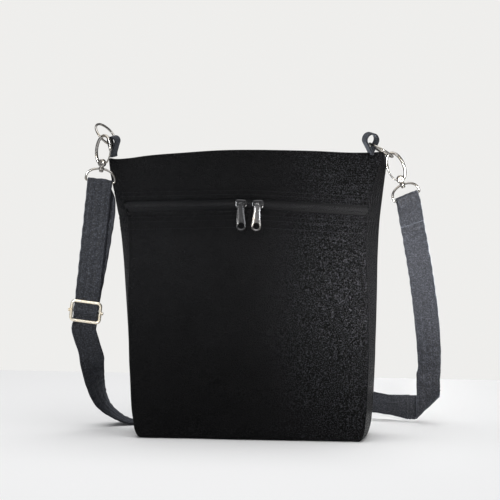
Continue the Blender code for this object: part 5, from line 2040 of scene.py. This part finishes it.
@dataclass
class Strap:
    """The shoulder strap: the long run with its second layer, and the right run with its flap and fold."""

    plan: StrapPlan
    band: Band
    under: Band
    width: float = 0.0250
    slip: float = 0.0060

    def wrap_points(self, start: float, end: float, steps: int, radius: float) -> list:
        """Points that go round a swivel's bar, in the strap's own frame. Zero is straight up.

        Args:
            start: The first angle.
            end: The last one.
            steps: How many.
            radius: How far out.

        Returns:
            The points.
        """
        return [
            Vector((0, radius * math.sin(turn), radius * math.cos(turn)))
            for turn in np.linspace(start, end, steps)
        ]

    def fold_room(self) -> float:
        """How far from the fold's place the strap runs straight again."""
        return math.pi * self.plan.fold_radius / math.sqrt(2) + self.width / 2 + self.plan.fold_radius

    def fold_axes(self) -> tuple:
        """The fold's own directions: to the right, to the back and up."""
        turn = self.plan.fold_heading
        return (
            np.array([math.cos(turn), -math.sin(turn), 0.0]),
            np.array([math.sin(turn), math.cos(turn), 0.0]),
            np.array([0.0, 0.0, 1.0]),
        )

    def long_path(self) -> BandPath:
        """From behind the left bar over it, down through the adjuster and round the back to the fold."""
        plan, wrap = self.plan, self.plan.wrap
        side = plan.left.to_3x3() @ Vector((1, 0, 0))
        right, back, up = self.fold_axes()
        local = [Vector((0, wrap, -0.0062)), Vector((0, wrap, -0.0030))]
        local += self.wrap_points(math.pi / 2, -math.pi / 2, 9, wrap)
        local += [Vector((0, -wrap, -drop)) for drop in plan.drops]
        points = [plan.left @ point for point in local]
        sides = [side] * len(points)
        for place, width in plan.round_the_back:
            points.append(Vector(place))
            sides.append(Vector(width))
        leave = np.array(plan.fold_place) - right * self.fold_room() + back * plan.fold_radius
        points.append(Vector(leave))
        sides.append(Vector(up))
        return BandPath.along(points, sides, self.width)

    def under_path(self) -> BandPath:
        """The second layer on the left, from the bar down behind the first one to the adjuster."""
        plan, wrap = self.plan, self.plan.wrap
        side = plan.left.to_3x3() @ Vector((1, 0, 0))
        drop = plan.adjuster_drop
        rows = (
            (0.0, wrap, -0.0066), (0.0, wrap, -0.0090), (self.slip, wrap * 0.8, -drop * 0.19),
            (self.slip * 0.85, wrap * 0.45, -drop * 0.45), (self.slip * 0.5, wrap * 0.2, -drop * 0.68),
            (self.slip * 0.1, -wrap * 0.05, -drop * 0.90), (0.0, -wrap * 0.10, -drop + 0.0020),
        )
        points = [plan.left @ Vector(row) for row in rows]
        return BandPath.along(points, [side] * len(points), self.width * 0.985)

    def way_down(self) -> tuple:
        """The line and widths of the right run, from the bar to the fold."""
        plan, wrap = self.plan, self.plan.wrap
        side = plan.right.to_3x3() @ Vector((1, 0, 0))
        right, back, up = self.fold_axes()
        entry = np.array(plan.fold_place) + up * self.fold_room() - back * plan.fold_radius
        points = [plan.right @ Vector((0, wrap, 0)), plan.right @ Vector((0, wrap, -wrap * 2))]
        sides = [side, side]
        for place, width in plan.down_the_right:
            points.append(Vector(place))
            sides.append(Vector(width))
        points += [Vector(entry + up * self.width / 2), Vector(entry)]
        sides += [Vector(right), Vector(right)]
        return points, sides

    def fold_path(self) -> BandPath:
        """The strap turned over a slanting line: down in front, and away to the left behind."""
        plan = self.plan
        right, back, up = self.fold_axes()
        radius = plan.fold_radius
        centre = np.array(plan.fold_place) + up * math.pi * radius / math.sqrt(2)
        slant = (-right - up) / math.sqrt(2)
        outward = (right - up) / math.sqrt(2)
        left, other = [], []
        for turn in np.linspace(0, math.pi, 17):
            normal = outward * math.sin(turn) - back * math.cos(turn)
            base = centre + normal * radius + slant * radius * turn
            left.append(base + slant * math.sqrt(2) * self.width / 2)
            other.append(base - slant * math.sqrt(2) * self.width / 2)
        return BandPath(np.array(left), np.array(other))

    def right_path(self) -> BandPath:
        """From the flap's end up and over the right bar, down the run and through the fold."""
        plan, wrap = self.plan, self.plan.wrap
        points, sides = self.way_down()
        run = BandPath.along(points, sides, self.width)
        middle = (run.left + run.right) / 2
        walked = np.concatenate([[0], np.cumsum(np.linalg.norm(np.diff(middle, axis=0), axis=1))])
        forward = np.gradient(middle, axis=0)
        across = run.right - run.left
        normal = np.cross(forward, across)
        normal /= np.linalg.norm(normal, axis=1, keepdims=True)
        normal *= -np.sign(normal[:, 1:2])
        front, widths = [], []
        for share in (1.0, 0.8, 0.6, 0.4, 0.2):
            place = plan.flap_length * share
            gap = wrap * 2 * (1 - share) ** 2 + plan.flap_gap * share * (2 - share)
            front.append(Vector(Maker.between(place, walked, middle + normal * gap)))
            widths.append(Vector(Maker.between(place, walked, across)).normalized())
        side = plan.right.to_3x3() @ Vector((1, 0, 0))
        over = [plan.right @ point for point in self.wrap_points(-math.pi / 2, math.pi / 2, 9, wrap)]
        line = front + over + points[1:]
        whole = BandPath.along(line, widths + [side] * len(over) + sides[1:], self.width)
        fold = self.fold_path()
        along, back, up = self.fold_axes()
        leave = np.array(plan.fold_place) - along * self.fold_room() + back * plan.fold_radius
        edges = [np.array([leave - along * 0.0012 * step for step in range(2)]) - up * sign * self.width / 2
                 for sign in (1, -1)]
        return whole.joined(fold).joined(BandPath(*edges))

    def build(self) -> None:
        """Builds the long run, its second layer and the right run, each with its stitches."""
        long_path, under_path, right_path = self.long_path(), self.under_path(), self.right_path()
        main = self.band.build("strap_long", long_path)
        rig.replaces(main, "strap_upper_run", "strap_left_run", "strap_rear_run")
        right = self.band.build("strap_right", right_path)
        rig.replaces(right, "strap_right_run")
        pieces = [main, right, self.band.stitch("strap_long_stitches", long_path)]
        pieces.append(self.band.stitch("strap_right_stitches", right_path, (1, -1), (0.002, 0.004)))
        for piece in pieces:
            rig.ride(piece, "bag")
        under = self.under.build("strap_second_layer", under_path)
        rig.replaces(under, "strap_return")
        start = self.plan.left @ Vector((0, 0, -0.012))
        end = self.plan.left @ Vector((0, 0, -self.plan.adjuster_drop + 0.006))
        for piece in (under, self.under.stitch("strap_second_stitches", under_path)):
            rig.blend(piece, "bag", "adjuster", tuple(start), tuple(end))
        log.info("strap: %.3f m long run, %.3f m right run", long_path.length(), right_path.length())


@dataclass
class Adjuster:
    """The slide on the left run: a wire frame, its bar with two knobs, and the strap's turn over the bar."""

    plan: StrapPlan
    metal: Finish
    band: Band
    half_width: float = 0.0146
    half_height: float = 0.0100
    wire: float = 0.0016
    corner: float = 0.0035
    bar_radius: float = 0.0010
    knob_radius: float = 0.0018
    seat: float = 0.0025
    strap_width: float = 0.0246
    hump: float = 0.0036

    def place(self) -> Matrix:
        """The adjuster's own frame: x along its bar, z up the strap, y to the back."""
        shift = Matrix.Translation((0, -0.0020 - self.seat, -self.plan.adjuster_drop))
        return self.plan.left @ shift

    def build_frame(self) -> Piece:
        """Builds the frame: a round wire along a rectangle with rounded corners."""
        points = []
        for number, (sign_x, sign_z) in enumerate(((1, 1), (-1, 1), (-1, -1), (1, -1))):
            for turn in np.linspace(number, number + 1, 9) * math.pi / 2:
                points.append((
                    sign_x * (self.half_width - self.corner) + self.corner * math.cos(turn), 0,
                    sign_z * (self.half_height - self.corner) + self.corner * math.sin(turn),
                ))
        points = np.array(points)
        steps = []
        for index, point in enumerate(points):
            after = points[(index + 1) % len(points)]
            count = max(int(np.linalg.norm(after - point) / 0.0012), 1)
            steps += [point + (after - point) * k / count for k in range(count)]
        data = Maker.tube_data(np.array(steps), self.wire, True, 18, (0, 1, 0))
        frame_piece = Maker.link("adjuster_wire", *Maker.moved(data, self.place()), self.metal)
        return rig.replaces(frame_piece, "adjuster_frame")

    def build_bar(self) -> Piece:
        """Builds the bar and the knobs at its ends."""
        reach = self.half_width + self.wire
        end = reach + self.knob_radius
        outline = [
            (0.0003, -end), (self.knob_radius * 0.7, -end + 0.0002), (self.knob_radius, -end + 0.0008),
            (self.knob_radius, -reach - 0.0004), (self.bar_radius, -reach - 0.0003),
        ]
        outline += [(radius, -height) for radius, height in reversed(outline)]
        bar = Maker.moved(Maker.lathe(outline, 24), Matrix.Rotation(math.pi / 2, 4, "Y"))
        piece = Maker.link("adjuster_rod", *Maker.moved(bar, self.place()), self.metal)
        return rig.replaces(piece, "adjuster_bar")

    def build_turn(self) -> list:
        """Builds the strap's own swell over the bar, between the frame's two ends."""
        side = self.plan.left.to_3x3() @ Vector((1, 0, 0))
        rows = []
        for share in np.linspace(-1, 1, 15):
            swell = 0.5 + 0.5 * math.cos(math.pi * min(abs(share) * 1.15, 1.0))
            rows.append(Vector((0, self.seat - 0.0019 - self.hump * swell, share * self.half_height * 0.84)))
        points = [self.place() @ row for row in reversed(rows)]
        path = BandPath.along(points, [side] * len(points), self.strap_width, 0.0008)
        cloth = self.band.build("strap_over_bar", path)
        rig.replaces(cloth, "strap_in_adjuster")
        return [cloth, self.band.stitch("strap_over_bar_stitches", path, (1, -1), (0.001, 0.001))]

    def build(self) -> None:
        """Builds the adjuster's pieces on its own body."""
        for piece in [self.build_frame(), self.build_bar(), *self.build_turn()]:
            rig.ride(piece, "adjuster")
            log.info("adjuster: %s", piece.name)


@dataclass
class KeptPieces:
    """The CAD pieces that keep their own shape and only take a finish: the gates' pins and the base board."""

    pin: Finish
    board: Finish

    def build(self) -> None:
        """Puts the finishes on the pieces."""
        finishes = {"gate_pin_left": self.pin, "gate_pin_right": self.pin, "base_board": self.board}
        for name, finish in finishes.items():
            bpy.data.objects[name].material_slots[0].material = finish.material()
            log.info("kept: %s", name)


@dataclass(frozen=True)
class SceneFinishes:
    """All the finishes of the bag and its ground."""

    shell: Finish = CoatedCloth("black coated cloth", "coated_cloth", (0.0021, 0.0021, 0.0024), 0.46)
    lining: Finish = StrapCloth("lining cloth", "lining", (0.020, 0.020, 0.022), 0.8)
    board: Finish = Moulded("base board", "board", (0.04, 0.04, 0.04), 0.6)
    tape: Finish = TapeCloth("zip tape", "zip_tape", (0.0025, 0.0025, 0.003), 0.8)
    nylon: Finish = Moulded("zip nylon", "zip_coil", (0.008, 0.008, 0.009), 0.34)
    thread: Finish = Thread("sewing thread", "coated_cloth", (0.0048, 0.0048, 0.0054), 0.75)
    strap: Finish = StrapCloth("strap cloth", "webbing", (0.0130, 0.0139, 0.0174), 0.62)
    strap_thread: Finish = Thread("strap thread", "webbing", (0.012, 0.013, 0.016), 0.6)
    nickel: Finish = PlatedMetal("nickel plating", "nickel", (0.36, 0.35, 0.34), 0.17)
    steel: Finish = PlatedMetal("pin steel", "steel_pin", (0.45, 0.45, 0.46), 0.30)
    enamel: Finish = Enamel("black enamel", "black_nickel", (0.012, 0.012, 0.013), 0.26)
    cream: Finish = PlatedMetal("cream gold plating", "nickel", (0.88, 0.82, 0.71), 0.36)
    gunmetal: Finish = PlatedMetal("gunmetal plating", "nickel", (0.16, 0.16, 0.165), 0.24)
    ground: Finish = Ground("pale ground", None, (0.90, 0.90, 0.90), 0.9)


def front_wall(form: BagForm) -> Wall:
    """The front wall with its creases and the rows of stitches about the zip."""
    return Wall(
        form,
        Face.FRONT,
        (Ripple(3, 0.050, 0.150, 0.00045), Ripple(8, 0.014, 0.040, 0.00008)),
        (
            Crease((-0.1180, 0.0020), (-0.0860, 0.0240), 0.0040, 0.0012),
            Crease((-0.1120, 0.0080), (-0.0990, 0.0330), 0.0050, -0.0010),
            Crease((0.1140, 0.0030), (0.0880, 0.0240), 0.0045, 0.0010),
            Crease((-0.0600, 0.0040), (0.0300, 0.0130), 0.0060, 0.0005),
        ),
        (StitchRow(0.0095), StitchRow(0.0135), StitchRow(-0.0110), StitchRow(-0.0155), StitchRow(-0.0228)),
    )


def back_wall(form: BagForm) -> Wall:
    """The plain back wall."""
    return Wall(
        form,
        Face.BACK,
        (Ripple(13, 0.050, 0.160, 0.00050), Ripple(18, 0.014, 0.040, 0.00008)),
        (Crease((-0.1120, 0.0030), (-0.0860, 0.0240), 0.0045, 0.0010),),
        (),
    )


def corner_plans() -> tuple:
    """The two upper corners, as the rings and clasps hang in the photograph."""
    left = CornerPlan(
        Side.LEFT,
        Maker.frame((-0.14048, 0, 0.28377), (0.9397, -0.342, 0), (0.34202, 0.93969, 0), (0, 0, 1)),
        0.0180,
        0.0042,
        Maker.frame(
            (-0.14048, 0, 0.29277), (-0.6288, 0.2289, 0.7431), (0.342, 0.9397, 0), (-0.6983, 0.2542, -0.6691),
        ),
        Maker.frame((-0.15198, -0.0075, 0.26937), (0.99337, 0, -0.11494), (0, 1, 0), (0.11494, 0, 0.99337)),
        Maker.frame(
            (-0.15198, -0.0075, 0.26937), (0.9003, -0.4226, -0.1042), (0.4198, 0.9063, -0.0486),
            (0.11494, 0, 0.99337),
        ),
        1,
        0.0030,
    )
    right = CornerPlan(
        Side.RIGHT,
        Maker.frame((0.11885, 0, 0.28785), (0.86603, 0.5, 0), (-0.5, 0.86603, 0), (0, 0, 1)),
        0.0215,
        0.0064,
        Maker.frame(
            (0.11885, 0, 0.29817), (0.7344, 0.424, -0.5299), (-0.5, 0.866, 0), (0.4589, 0.265, 0.848),
        ),
        Maker.frame(
            (0.14975, 0.0105, 0.25595),
            (0.8243, 0.46947, 0.31642), (-0.4383, 0.8829, -0.1682), (-0.3584, 0, 0.9336),
        ),
        Maker.frame(
            (0.14975, 0.0105, 0.25595),
            (0.93, 0.0872, 0.357), (-0.08137, 0.99619, -0.03123), (-0.3584, 0, 0.9336),
        ),
        -1,
    )
    return left, right


def record_size(key: str) -> None:
    """Args:
        key: Which of the two sizes is written.
    """
    try:
        with open(SIZE_FILE, encoding="utf-8") as file:
            sizes = json.load(file)
    except (OSError, ValueError):
        sizes = {}
    sizes[key] = [[float(value) for value in corner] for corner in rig.bounds()]
    with open(SIZE_FILE, "w", encoding="utf-8") as file:
        json.dump(sizes, file)


def main() -> None:
    """Builds the whole scene."""
    finishes = SceneFinishes()
    form = BagForm()
    front = front_wall(form)
    back = back_wall(form)
    ClothShell(form, finishes.shell, finishes.lining, front, back).build()
    Stitching(front, finishes.thread).build()
    ZipFront(form, front, finishes.tape, finishes.nylon, finishes.enamel).build()
    ZipSlider("left", finishes.enamel, finishes.enamel).build()
    ZipSlider("right", finishes.enamel, finishes.gunmetal).build()
    tab_band = Band(
        finishes.strap, finishes.strap_thread, 0.0013, (-0.66, 0.66), 0.00015, 0.0001, 0.0001, 0.0002,
        seed=21, columns=21,
    )
    for plan in corner_plans():
        CornerHardware(plan, finishes.nickel, tab_band).build()
    strap_plan = StrapPlan()
    band = Band(finishes.strap, finishes.strap_thread)
    under = Band(finishes.strap, finishes.strap_thread, seed=11)
    Strap(strap_plan, band, under).build()
    Adjuster(strap_plan, finishes.cream, Band(finishes.strap, finishes.strap_thread, 0.0009, seed=15)).build()
    KeptPieces(finishes.steel, finishes.board).build()
    Studio(finishes.ground).build()


if __name__ == "__main__":
    logging.basicConfig(level=logging.INFO, format="%(message)s")
    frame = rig.load()
    record_size("frame")
    main()
    record_size("model")
